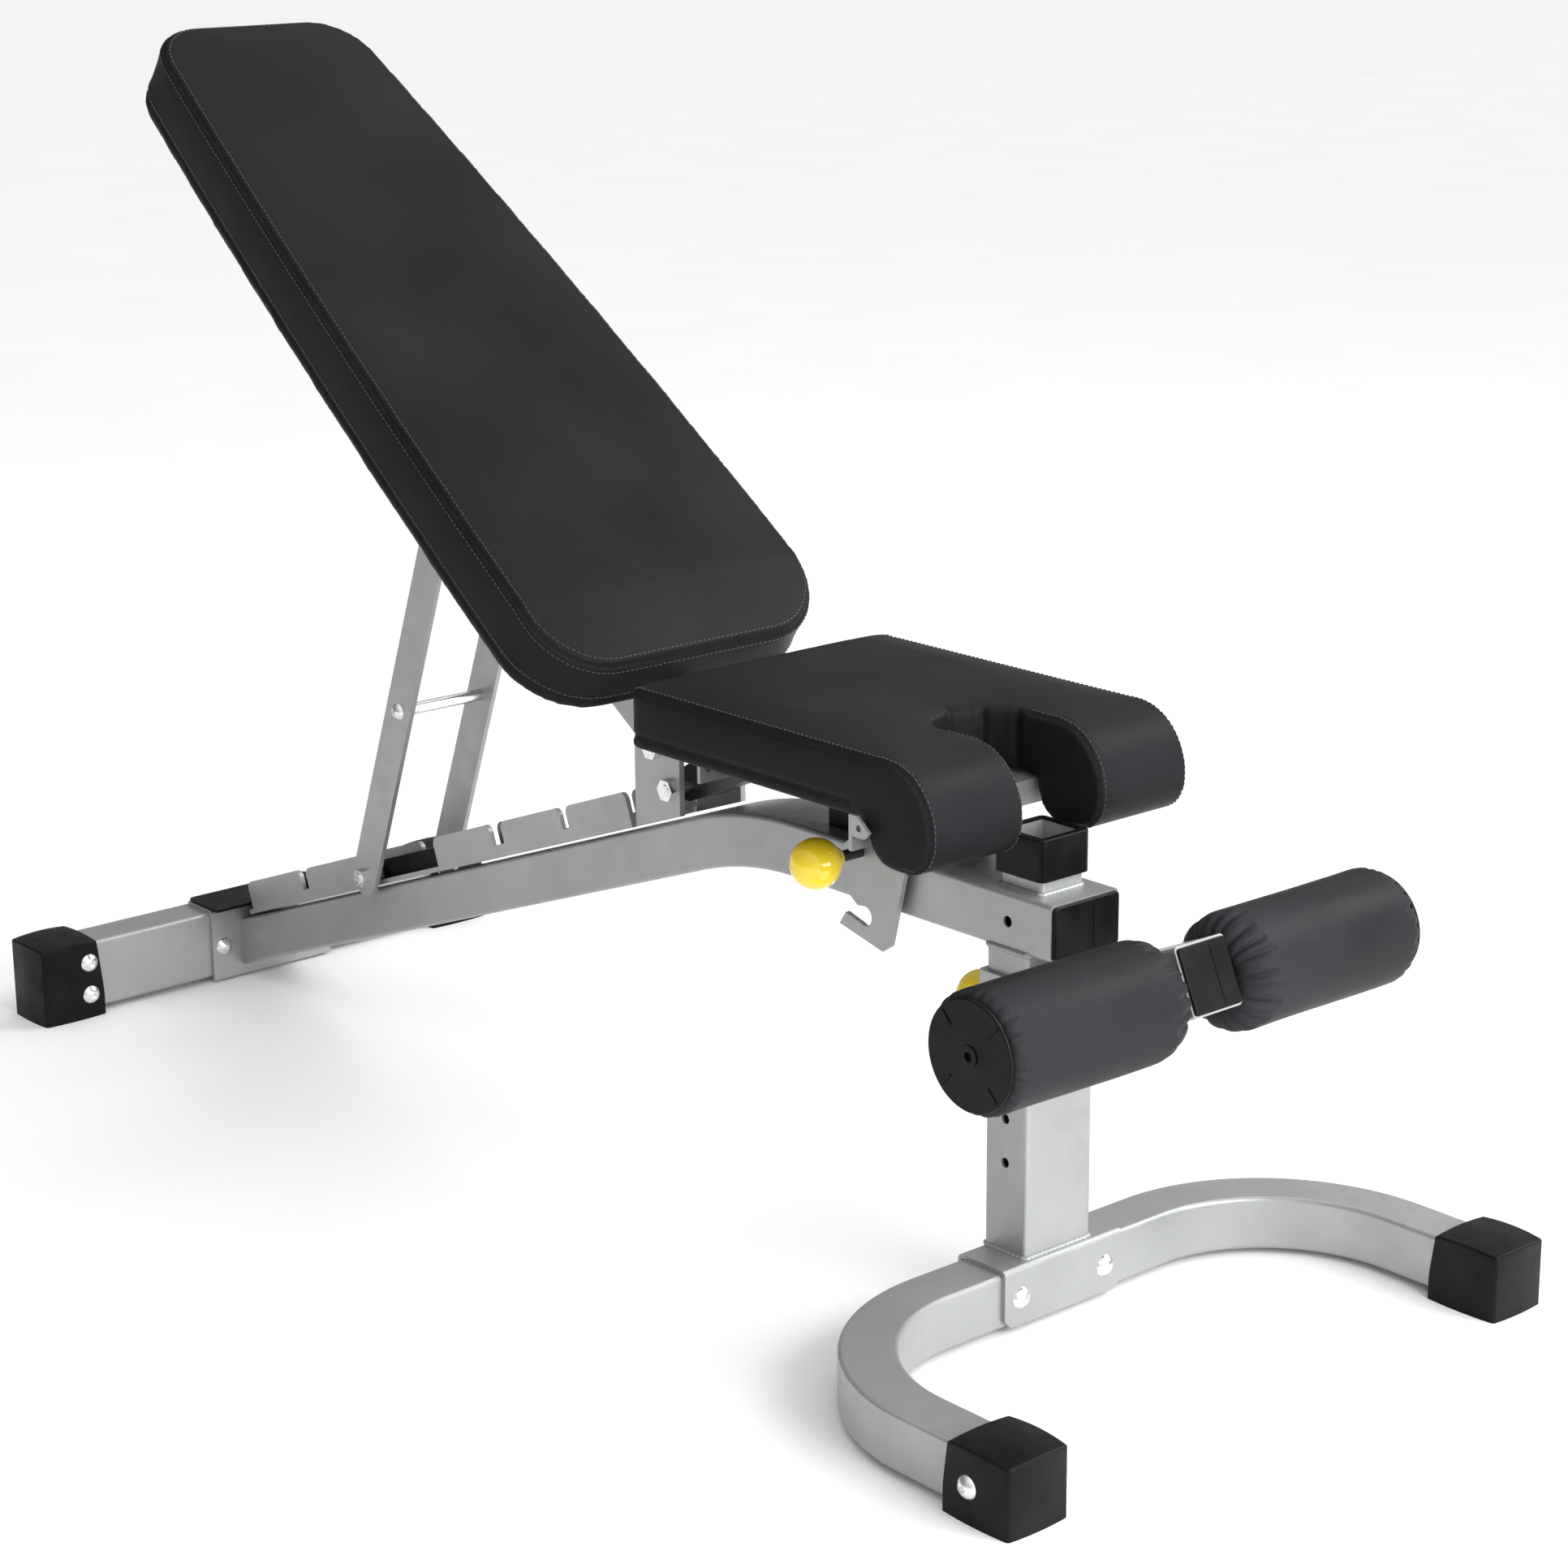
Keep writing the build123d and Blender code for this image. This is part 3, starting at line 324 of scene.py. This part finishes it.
def piece(name, verts, faces, material, body):
    """New smooth-shaded mesh object that rides on a body."""
    mesh = bpy.data.meshes.new(name)
    mesh.from_pydata([tuple(v) for v in verts], [], faces)
    mesh.validate()
    mesh.materials.append(material)
    mesh.shade_smooth()
    ob = bpy.data.objects.new(name, mesh)
    bpy.context.scene.collection.objects.link(ob)
    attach(ob, body)
    return ob


def apply_modifier(ob, modifier):
    """Apply one modifier to its object."""
    bpy.context.view_layer.objects.active = ob
    with bpy.context.temp_override(object=ob, active_object=ob):
        bpy.ops.object.modifier_apply(modifier=modifier.name)


def lathe(profile, centre, axis, segments=64):
    """Verts and faces of a profile of (distance along the axis, radius), turned about the axis."""
    axis = Vector(axis).normalized()
    side = axis.orthogonal().normalized()
    other = axis.cross(side)
    verts, faces = [], []
    for along, radius in profile:
        for i in range(segments):
            a = 2 * math.pi * i / segments
            verts.append(Vector(centre) + axis * along + (side * math.cos(a) + other * math.sin(a)) * radius)
    for r in range(len(profile) - 1):
        for i in range(segments):
            j = (i + 1) % segments
            faces.append((r * segments + i, r * segments + j, (r + 1) * segments + j, (r + 1) * segments + i))
    faces.append(tuple(range(segments))[::-1])
    faces.append(tuple((len(profile) - 1) * segments + i for i in range(segments)))
    return verts, faces


def resampled(points, step, closed=False):
    """The same polyline with points at an even spacing."""
    pts = [Vector(p) for p in points]
    if closed:
        pts.append(pts[0])
    lengths = [0.0]
    for a, b in zip(pts, pts[1:]):
        lengths.append(lengths[-1] + (b - a).length)
    count = max(2, round(lengths[-1] / step))
    out, k = [], 0
    for n in range(count + (0 if closed else 1)):
        want = lengths[-1] * n / count
        while k < len(lengths) - 2 and lengths[k + 1] < want:
            k += 1
        span = lengths[k + 1] - lengths[k]
        out.append(pts[k].lerp(pts[k + 1], (want - lengths[k]) / span if span else 0))
    return out


def rounded_outline(corners, radii, steps=10):
    """2D polygon with each corner turned into an arc of its own radius."""
    out = []
    for i, (p, r) in enumerate(zip(corners, radii)):
        p, a, b = Vector(p), Vector(corners[i - 1]), Vector(corners[(i + 1) % len(corners)])
        to_a, to_b = (a - p).normalized(), (b - p).normalized()
        half = to_a.angle(to_b) / 2
        centre = p + (to_a + to_b).normalized() * (r / math.sin(half))
        start, end = p + to_a * (r / math.tan(half)) - centre, p + to_b * (r / math.tan(half)) - centre
        a0 = math.atan2(start.y, start.x)
        turn = (math.atan2(end.y, end.x) - a0 + math.pi) % (2 * math.pi) - math.pi
        for s in range(steps + 1):
            angle = a0 + turn * s / steps
            out.append(centre + Vector((math.cos(angle), math.sin(angle))) * r)
    return out


def tube(name, points, radius, material, body, closed=False, sides=8, ripple=0.0):
    """Round bead along a path; ripple gives it the waves of a weld."""
    verts, faces = [], []
    count = len(points)
    for i, p in enumerate(points):
        before = points[i - 1] if closed or i else p
        after = points[(i + 1) % count] if closed or i < count - 1 else p
        along = (after - before).normalized()
        side = along.orthogonal().normalized()
        if abs(along.z) < 0.99:
            side = along.cross(Vector((0, 0, 1))).normalized()
        other = along.cross(side)
        r = radius * (1 + ripple * math.sin(i * 1.9))
        for s in range(sides):
            a = 2 * math.pi * s / sides
            verts.append(p + (side * math.cos(a) + other * math.sin(a)) * r)
    for i in range(count if closed else count - 1):
        j = (i + 1) % count
        for s in range(sides):
            t = (s + 1) % sides
            faces.append((i * sides + s, i * sides + t, j * sides + t, j * sides + s))
    if not closed:
        faces.append(tuple(range(sides))[::-1])
        faces.append(tuple((count - 1) * sides + s for s in range(sides)))
    return piece(name, verts, faces, material, body)


# ---------------------------------------------------------------- sewing

def surface_of(ob):
    """Nearest-point lookup on an object's mesh."""
    return BVHTree.FromPolygons([v.co for v in ob.data.vertices], [p.vertices for p in ob.data.polygons])


def laid_on(surface, points, lift=0.0):
    """Points moved to a surface, with the surface's normals there."""
    out = []
    for p in points:
        place, normal, _, _ = surface.find_nearest(p)
        out.append((place + normal * lift, normal))
    return out


def press_groove(ob, points, width, depth):
    """Sink the mesh along a path, as a tight seam does."""
    near = distances(ob, points)
    shift(ob, [depth * (0.5 + 0.5 * math.cos(math.pi * gap / width)) if gap < width else 0.0 for gap in near])


def distances(ob, points):
    """How far each vertex is from the nearest of some points."""
    tree = kdtree.KDTree(len(points))
    for i, p in enumerate(points):
        tree.insert(p, i)
    tree.balance()
    return [tree.find(v.co)[2] for v in ob.data.vertices]


def shift(ob, depths):
    """Move each vertex inwards along its normal by its own depth."""
    vertices = ob.data.vertices
    moved = [v.co - v.normal * depth for v, depth in zip(vertices, depths)]
    reshape(ob, moved)


def reshape(ob, places):
    """Set every vertex's place at once."""
    ob.data.vertices.foreach_set("co", [c for p in places for c in p])
    ob.data.update()


def stitches(name, surface, points, body, pitch=0.0055, length=0.0036, radius=0.00045, closed=False):
    """A row of single stitches laid on a surface along a path."""
    row = resampled(points, pitch, closed)
    verts, faces = [], []
    for i, p in enumerate(row):
        nxt = row[(i + 1) % len(row)] if closed or i < len(row) - 1 else p * 2 - row[i - 1]
        (place, normal), = laid_on(surface, [p], radius * 0.4)
        along = (nxt - p).normalized()
        side = normal.cross(along).normalized()
        start = len(verts)
        for t, swell in ((-0.5, 0.45), (-0.36, 1.0), (0.36, 1.0), (0.5, 0.45)):
            for s in range(6):
                a = math.pi * s / 3
                out = (side * math.cos(a) + normal * math.sin(a)) * radius * swell
                verts.append(place + along * t * length + out)
        for ring in range(3):
            for s in range(6):
                a, b = start + ring * 6 + s, start + ring * 6 + (s + 1) % 6
                faces.append((a, b, b + 6, a + 6))
        faces.append(tuple(start + s for s in range(6))[::-1])
        faces.append(tuple(start + 18 + s for s in range(6)))
    return piece(name, verts, faces, THREAD, body)


def inflate(ob, voxel, cap, held, pressure=4.0, frames=20):
    """Remesh a piece evenly, swell it with cloth pressure, and hold each point within a cap of its start."""
    remesh = ob.modifiers.new("remesh", "REMESH")
    remesh.mode = "VOXEL"
    remesh.voxel_size = voxel
    apply_modifier(ob, remesh)
    start = [v.co.copy() for v in ob.data.vertices]
    group = ob.vertex_groups.new(name="held")
    for i, weight in enumerate(held(ob)):
        if weight:
            group.add([i], weight, "REPLACE")
    cloth = ob.modifiers.new("cloth", "CLOTH")
    cloth.settings.use_pressure = True
    cloth.settings.uniform_pressure_force = pressure
    cloth.settings.vertex_group_mass = "held"
    cloth.settings.effector_weights.gravity = 0
    cloth.settings.quality = 4
    cloth.point_cache.frame_end = frames
    for f in range(1, frames + 1):
        bpy.context.scene.frame_set(f)
    apply_modifier(ob, cloth)
    ends = []
    for v, co in zip(ob.data.vertices, start):
        move = v.co - co
        ends.append(co + move * min(1.0, cap / max(move.length, 1e-9)))
    reshape(ob, ends)
    ob.vertex_groups.clear()
    bpy.context.scene.frame_set(1)
    smooth = ob.modifiers.new("smooth", "SMOOTH")
    smooth.factor, smooth.iterations = 0.5, 2
    apply_modifier(ob, smooth)
    finer = ob.modifiers.new("finer", "SUBSURF")
    finer.levels = finer.render_levels = 1
    apply_modifier(ob, finer)
    ob.data.shade_smooth()


# ---------------------------------------------------------------- back pad

def back_frame_of(node):
    """Lowest and highest values of a node along the back, across it and out of it."""
    co = [v.co for v in NODES[node].data.vertices]
    spans = []
    for axis in (BACK_UP, ACROSS, BACK_OUT):
        values = [c.dot(axis) for c in co]
        spans.append((min(values), max(values)))
    return spans


def back_place(along, across, out):
    """Point from its place along, across and out of the back."""
    return BACK_UP * along + ACROSS * across + BACK_OUT * out


def back_outline(shape, inset):
    """Tapered outline of the back, with bowed long sides, rounder at its lower corners."""
    low, high = shape
    half_low, half_high = BACK_HALF
    corners = [(low + inset, inset - half_low), (high - inset, inset - half_high),
               (high - inset, half_high - inset), (low + inset, half_low - inset)]
    foot, head = (radius - inset * 0.6 for radius in BACK_ROUND)
    ring = rounded_outline(corners, [foot, head, head, foot])
    bowed = []
    for p in resampled([p.to_3d() for p in ring], 0.006, True):
        t = (p.x - low) / (high - low)
        half = half_low + (half_high - half_low) * t
        bowed.append(Vector((p.x, p.y * (1 + BACK_BOW * 4 * t * (1 - t) / half))))
    return bowed


def face_drop(along, height, bend, low):
    """How far the face has sunk below its level, towards the back's lower end."""
    return max(0.0, bend - along) / (bend - low) * FACE_DROP * min(1.0, max(0.0, height / 0.05))


def evened(points, count):
    """The same closed outline with a fixed number of points."""
    around = sum((Vector(points[i]) - Vector(points[i - 1])).length for i in range(len(points)))
    return resampled([p.to_3d() for p in points], around / count, True)


def back_ring(shape, base, inset, height, bend=None, step=SEAM_STEP):
    """Closed path round the back at an inset and height, on the sloped face if a bend is given."""
    ring = []
    for p in resampled([p.to_3d() for p in back_outline(shape, inset)], step, True):
        drop = face_drop(p.x, height, bend, shape[0]) if bend else 0.0
        ring.append(back_place(p.x, p.y, base + height - drop))
    return ring


def back_shell(shape, base, under):
    """Plain closed cover of the back, from the board's underside to the middle of the face."""
    # inset and height of each ring
    rings = [(0.030, under), (0.007, under), (0.003, under + 0.003),
             (0.002, 0.002), (0.003, 0.020), (0.003, 0.042), (0.002, 0.055),
             (0.0035, 0.0605), (0.008, 0.0625), (0.030, 0.0632), (0.075, 0.0635)]
    verts, faces = [], []
    count = 0
    for inset, height in rings:
        ring = evened(back_outline(shape, inset), RING_POINTS)
        count = len(ring)
        verts += [back_place(p.x, p.y, base + height) for p in ring]
    for r in range(len(rings) - 1):
        for i in range(count):
            j = (i + 1) % count
            faces.append((r * count + i, r * count + j, (r + 1) * count + j, (r + 1) * count + i))
    faces.append(tuple(range(count))[::-1])
    last = (len(rings) - 1) * count
    faces.append(tuple(last + i for i in range(count)))
    return piece("back_pad_cover", verts, faces, MATERIALS["vinyl"], "back")


def back_pad():
    """Tapered pad whose cover wraps the board: boxed sides between two seams, and a face with a crease."""
    shape, (_, half), (base, _) = back_frame_of("back_pad")
    low = shape[0]
    bend = low + CREASE_UP
    under = back_frame_of("back_board")[2][0] - base
    pad = back_shell(shape, base, under)

    def held(ob):
        seams = back_ring(shape, base, 0.003, 0.059) + back_ring(shape, base, 0.002, LOW_SEAM)
        weights = []
        for v, gap in zip(ob.data.vertices, distances(ob, seams)):
            on_board = v.co.dot(BACK_OUT) < base + under + 0.003
            weights.append(1.0 if on_board else 0.85 if gap < 0.006 else 0.0)
        return weights

    inflate(pad, 0.005, 0.0035, held)
    places = []
    for v in pad.data.vertices:
        height = v.co.dot(BACK_OUT) - base
        lift = max(0.0, under - height) - face_drop(v.co.dot(BACK_UP), height, bend, low)
        places.append(v.co + BACK_OUT * lift)
    reshape(pad, places)
    surface = surface_of(pad)
    edge = [p for p, _ in laid_on(surface, back_ring(shape, base, 0.001, 0.0615, bend))]
    lower = [p for p, _ in laid_on(surface, back_ring(shape, base, -0.001, LOW_SEAM, bend))]
    press_groove(pad, edge, 0.0042, 0.0026)
    press_groove(pad, lower, 0.0042, 0.0022)
    crease = [back_place(bend, half * t / 60, base + 0.066) for t in range(-54, 55)]
    press_groove(pad, [p for p, _ in laid_on(surface, crease)], 0.005, 0.0003)
    surface = surface_of(pad)
    rows = {"face": (0.0085, 0.067), "side": (-0.002, 0.0535), "low": (-0.002, LOW_SEAM + 0.005)}
    for name, (inset, height) in rows.items():
        path = back_ring(shape, base, inset, height, bend)
        stitches(f"back_stitch_{name}", surface, path, "back", closed=True)
    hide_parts("back_pad", "back_board")


# ---------------------------------------------------------------- seat pad

def seat_seam(y):
    """Path of a side seam: along the top edge, over the lobe and down its front."""
    lo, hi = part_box("seat_pad")
    lip_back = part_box("seat_board")[1].x + 0.008
    corners = [(lip_back, lo.z), (hi.x, lo.z), (hi.x, hi.z), (lo.x, hi.z)]
    turned = rounded_outline(corners, [LOBE_UNDER, LOBE_UNDER, LOBE_OVER, 0.001], 14)
    path = [Vector((p.x, y, p.y)) for p in reversed(turned) if p.x > lip_back + 0.018 or p.y > hi.z - 0.03]
    return resampled(path, SEAM_STEP)


def seat_shell(board_low, board_high):
    """Even, slightly shrunken skin round the seat's foam and its board."""
    middle = (board_low + board_high) / 2
    verts, faces = [], []
    for node, spread in (("seat_pad", 0.0), ("seat_board", 0.005)):
        mesh = bmesh.new()
        mesh.from_mesh(NODES[node].data)
        bmesh.ops.remove_doubles(mesh, verts=mesh.verts[:], dist=0.00001)
        first = len(verts)
        for v in mesh.verts:
            out = Vector((v.co.x - middle.x, v.co.y, 0))
            grow = Vector((out.x / (middle.x - board_low.x), out.y / board_high.y, 0)) * spread
            rise = 0.004 if node == "seat_board" and v.co.z > middle.z else 0.0
            verts.append(v.co + grow + Vector((0, 0, rise)))
        faces += [tuple(first + v.index for v in f.verts) for f in mesh.faces]
        mesh.free()
    pad = piece("seat_pad_cover", verts, faces, MATERIALS["vinyl"], "seat")
    even = pad.modifiers.new("even", "REMESH")
    even.mode = "VOXEL"
    even.voxel_size = 0.004
    apply_modifier(pad, even)
    shift(pad, [0.0025] * len(pad.data.vertices))
    return pad


def seat_rim(lo, board_high, half):
    """Path of the lower seam, along both sides and across the rear, above the board."""
    z = board_high.z + LOW_SEAM
    count = int((board_high.x - lo.x) / SEAM_STEP)
    rim = [Vector((lo.x + SEAM_STEP * k, side * half, z)) for side in (-1, 1) for k in range(count)]
    return rim + [Vector((lo.x, SEAM_STEP * k, z)) for k in range(-32, 33)]


def seat_pad():
    """Seat pad whose cover wraps the board, with a flat top and two rolled lobes beside the notch."""
    lo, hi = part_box("seat_pad")
    board_low, board_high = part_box("seat_board")
    pad = seat_shell(board_low, board_high)
    half = hi.y
    notch_back = hi.x - SEAT_NOTCH_LONG
    outer, inner = {}, {}
    for name, side in SIDES.items():
        outer[name] = seat_seam(side * half)
        inner[name] = [p for p in seat_seam(side * SEAT_NOTCH_HALF) if p.x > notch_back + 0.045]
    rim = seat_rim(lo, board_high, half)

    def held(ob):
        seams = [p for path in [*outer.values(), *inner.values()] for p in path] + rim
        weights = []
        for v, gap in zip(ob.data.vertices, distances(ob, seams)):
            on_board = v.co.z < board_low.z + 0.004 and v.co.x < board_high.x - 0.004
            weights.append(1.0 if on_board else 0.8 if gap < 0.007 else 0.0)
        return weights

    inflate(pad, 0.005, 0.005, held)
    places = []
    for v in pad.data.vertices:
        co = v.co.copy()
        if co.x < board_high.x + 0.004:
            co.z = max(co.z, board_low.z)
        elif co.z < board_low.z + 0.002:
            co.x = max(co.x, board_high.x + 0.0065)
        places.append(co)
    reshape(pad, places)
    pleat_notch(pad, notch_back, SEAT_NOTCH_HALF, hi.z)
    surface = surface_of(pad)
    grooves = [(path, 0.0045, 0.0026) for path in outer.values()]
    grooves += [(path, 0.004, 0.002) for path in inner.values()]
    grooves.append((rim, 0.004, 0.0028))
    for path, width, depth in grooves:
        press_groove(pad, [p for p, _ in laid_on(surface, path)], width, depth)
    surface = surface_of(pad)
    for name, side in SIDES.items():
        outside = [p - ACROSS * side * 0.008 for p in outer[name]]
        inside = [p + ACROSS * side * 0.007 for p in inner[name]]
        stitches(f"seat_stitch_{name}", surface, outside, "seat")
        stitches(f"seat_notch_stitch_{name}", surface, inside, "seat")
    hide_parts("seat_pad", "seat_board")


def pleat_notch(pad, back, half, top):
    """Upright pleats where the cover is gathered round the back of the notch."""
    centre_x = back + half
    places = []
    for v in pad.data.vertices:
        dx, dy = v.co.x - centre_x, v.co.y
        reach = math.hypot(dx, dy)
        co = v.co.copy()
        if dx < 0.01 and reach < half + 0.016 and v.co.z < top - 0.002:
            angle = math.atan2(dy, -dx)
            fold = max(0.0, math.cos(angle * 9.0)) ** 3
            near_wall = max(0.0, 1 - max(0.0, reach - half) / 0.016)
            co += Vector((dx, dy, 0)).normalized() * 0.004 * fold * near_wall
        places.append(co)
    reshape(pad, places)


# ---------------------------------------------------------------- leg rollers

def folds(end, rng):
    """Angle, width, reach and depth of each fold at an end of a roller."""
    made = []
    for k in range(end["count"]):
        angle = 2 * math.pi * (k + rng.uniform(-0.25, 0.25)) / end["count"]
        width, reach = rng.uniform(*end["wide"]), rng.uniform(*end["long"])
        made.append((angle, width, reach, end["deep"] * rng.uniform(0.6, 1.1)))
    return made


def roller(name, side, seed):
    """Foam roller in a cover gathered at both ends: drawn in at the arm, and scalloped round its end cap."""
    rng = random.Random(seed)
    lo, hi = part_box(f"foam_roller_{name}")
    centre_x, centre_z = (lo.x + hi.x) / 2, (lo.z + hi.z) / 2
    radius = (hi.x - lo.x) / 2
    inner, outer = sorted((lo.y, hi.y), key=abs)
    long = abs(outer - inner)
    hole = ROLLER_HOLE
    # reach along the axis and drop in radius of the rounding at each end, and how its folds are made
    ends = [{"round": 0.027, "drop": 0.022, "count": 21, "deep": 0.0065,
             "long": (0.024, 0.036), "wide": (0.045, 0.075)},
            {"round": 0.010, "drop": 0.006, "count": 30, "deep": 0.0028,
             "long": (0.008, 0.015), "wide": (0.03, 0.05)}]
    for end in ends:
        end["folds"] = folds(end, rng)
    # stations along the axis, closer together near the ends
    alongs = []
    for r in range(ROLLER_STATIONS + 1):
        t = r / ROLLER_STATIONS
        alongs.append(long * (0.5 - 0.5 * math.cos(math.pi * t)) * 0.55 + long * t * 0.45)
    segments = ROLLER_SEGMENTS
    verts, faces = [], []
    # the inner end turns in towards the arm
    for share in (0.0, 0.35, 0.7):
        alongs.insert(int(share > 0) + int(share > 0.35), -1 + share)
    for along in alongs:
        turned = max(0.0, -along)
        at = max(0.0, along)
        which, gap = (0, at) if at < long / 2 else (1, long - at)
        end = ends[which]
        curve = 1 - min(1.0, gap / end["round"])
        ring = radius - end["drop"] * (1 - math.sqrt(max(0.0, 1 - curve ** 2)))
        ring = ring + (hole - ring) * turned
        for s in range(segments):
            a = 2 * math.pi * s / segments
            dent = 0.0
            for angle, width, reach, deep in end["folds"]:
                off = (a - angle + math.pi) % (2 * math.pi) - math.pi
                if abs(off) < 3 * width and gap < reach:
                    dent += deep * math.exp(-(off / width) ** 2) * (1 - gap / reach) ** 0.6
            wave = noise.noise(Vector((math.cos(a) * 1.2, math.sin(a) * 1.2, at * 8 + seed))) * 0.0012
            r = ring - dent * (1 - turned) + wave * min(1.0, gap / 0.03)
            y = inner + side * (at + 0.004 * turned)
            verts.append((centre_x + r * math.cos(a), y, centre_z + r * math.sin(a)))
    last = (len(alongs) - 1) * segments
    for s in range(segments):
        a = 2 * math.pi * s / segments
        verts.append((centre_x + hole * math.cos(a), outer, centre_z + hole * math.sin(a)))
    for r in range(len(alongs) - 1):
        for s in range(segments):
            t = (s + 1) % segments
            faces.append((r * segments + s, r * segments + t, (r + 1) * segments + t, (r + 1) * segments + s))
    closing = len(alongs) * segments
    for s in range(segments):
        t = (s + 1) % segments
        faces.append((last + s, last + t, closing + t, closing + s))
        faces.append((s, t, closing + t, closing + s)[::-1])
    if side < 0:
        faces = [f[::-1] for f in faces]
    body = f"roller_{name}"
    cover = piece(f"roller_cover_{name}", verts, faces, MATERIALS["roller_cover"], body)
    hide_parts(f"foam_roller_{name}")


# ---------------------------------------------------------------- knobs

def ball_knob(name, node, direction, body):
    """Ball knob with a flat seat where its rod enters."""
    lo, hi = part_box(node)
    radius = (hi.z - lo.z) / 2
    direction = Vector(direction)
    middle = (lo + hi) / 2
    ends = [lo, hi]
    tip = ends[1] if sum(direction) > 0 else ends[0]
    centre = Vector([tip[i] - direction[i] * radius if direction[i] else middle[i] for i in range(3)])
    seat = 0.0095
    profile = [(-radius * 1.12, 0.006), (-radius * 1.12, 0.0082),
               (-radius * 1.10, 0.0092), (-radius * 0.93, seat)]
    for k in range(1, 40):
        a = math.pi * k / 40
        along, out = -radius * math.cos(a), radius * math.sin(a)
        if out > seat or along > 0:
            profile.append((along, out * (1 + (0.0025 if k == 20 else 0))))
    profile.append((radius, 0.0006))
    verts, faces = lathe(profile, centre, direction)
    knob = piece(name, verts, faces, MATERIALS["yellow_plastic"], body)
    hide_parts(node)


# ---------------------------------------------------------------- welds

def rectangle(x0, x1, y0, y1, z, step=0.0016):
    """Closed rectangular path at one height, with small corner radii."""
    corners = [(x0, y0), (x1, y0), (x1, y1), (x0, y1)]
    return resampled([Vector((p.x, p.y, z)) for p in rounded_outline(corners, [0.004] * 4, 5)], step, True)


def welds():
    """Weld beads round both ends of the post and the foot of the socket."""
    post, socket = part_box("post"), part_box("socket_stub")
    beads = {"weld_post_foot": (post, post[0].z, 0.0026), "weld_post_head": (post, post[1].z, 0.0026),
             "weld_socket": (socket, socket[0].z, 0.0024)}
    for name, ((lo, hi), z, radius) in beads.items():
        path = rectangle(lo.x, hi.x, lo.y, hi.y, z)
        tube(name, path, radius, MATERIALS["silver_paint"], "frame", True, 8, 0.14)


# ---------------------------------------------------------------- build

camera()
studio()
dress_frame()
back_pad()
seat_pad()
for number, (name, side) in enumerate(SIDES.items()):
    roller(name, side, 11 + number)
ball_knob("latch_ball", "latch_knob", (0, -1, 0), "latch")
ball_knob("pull_ball", "pull_knob", (-1, 0, 0), "pull_pin_body")
welds()
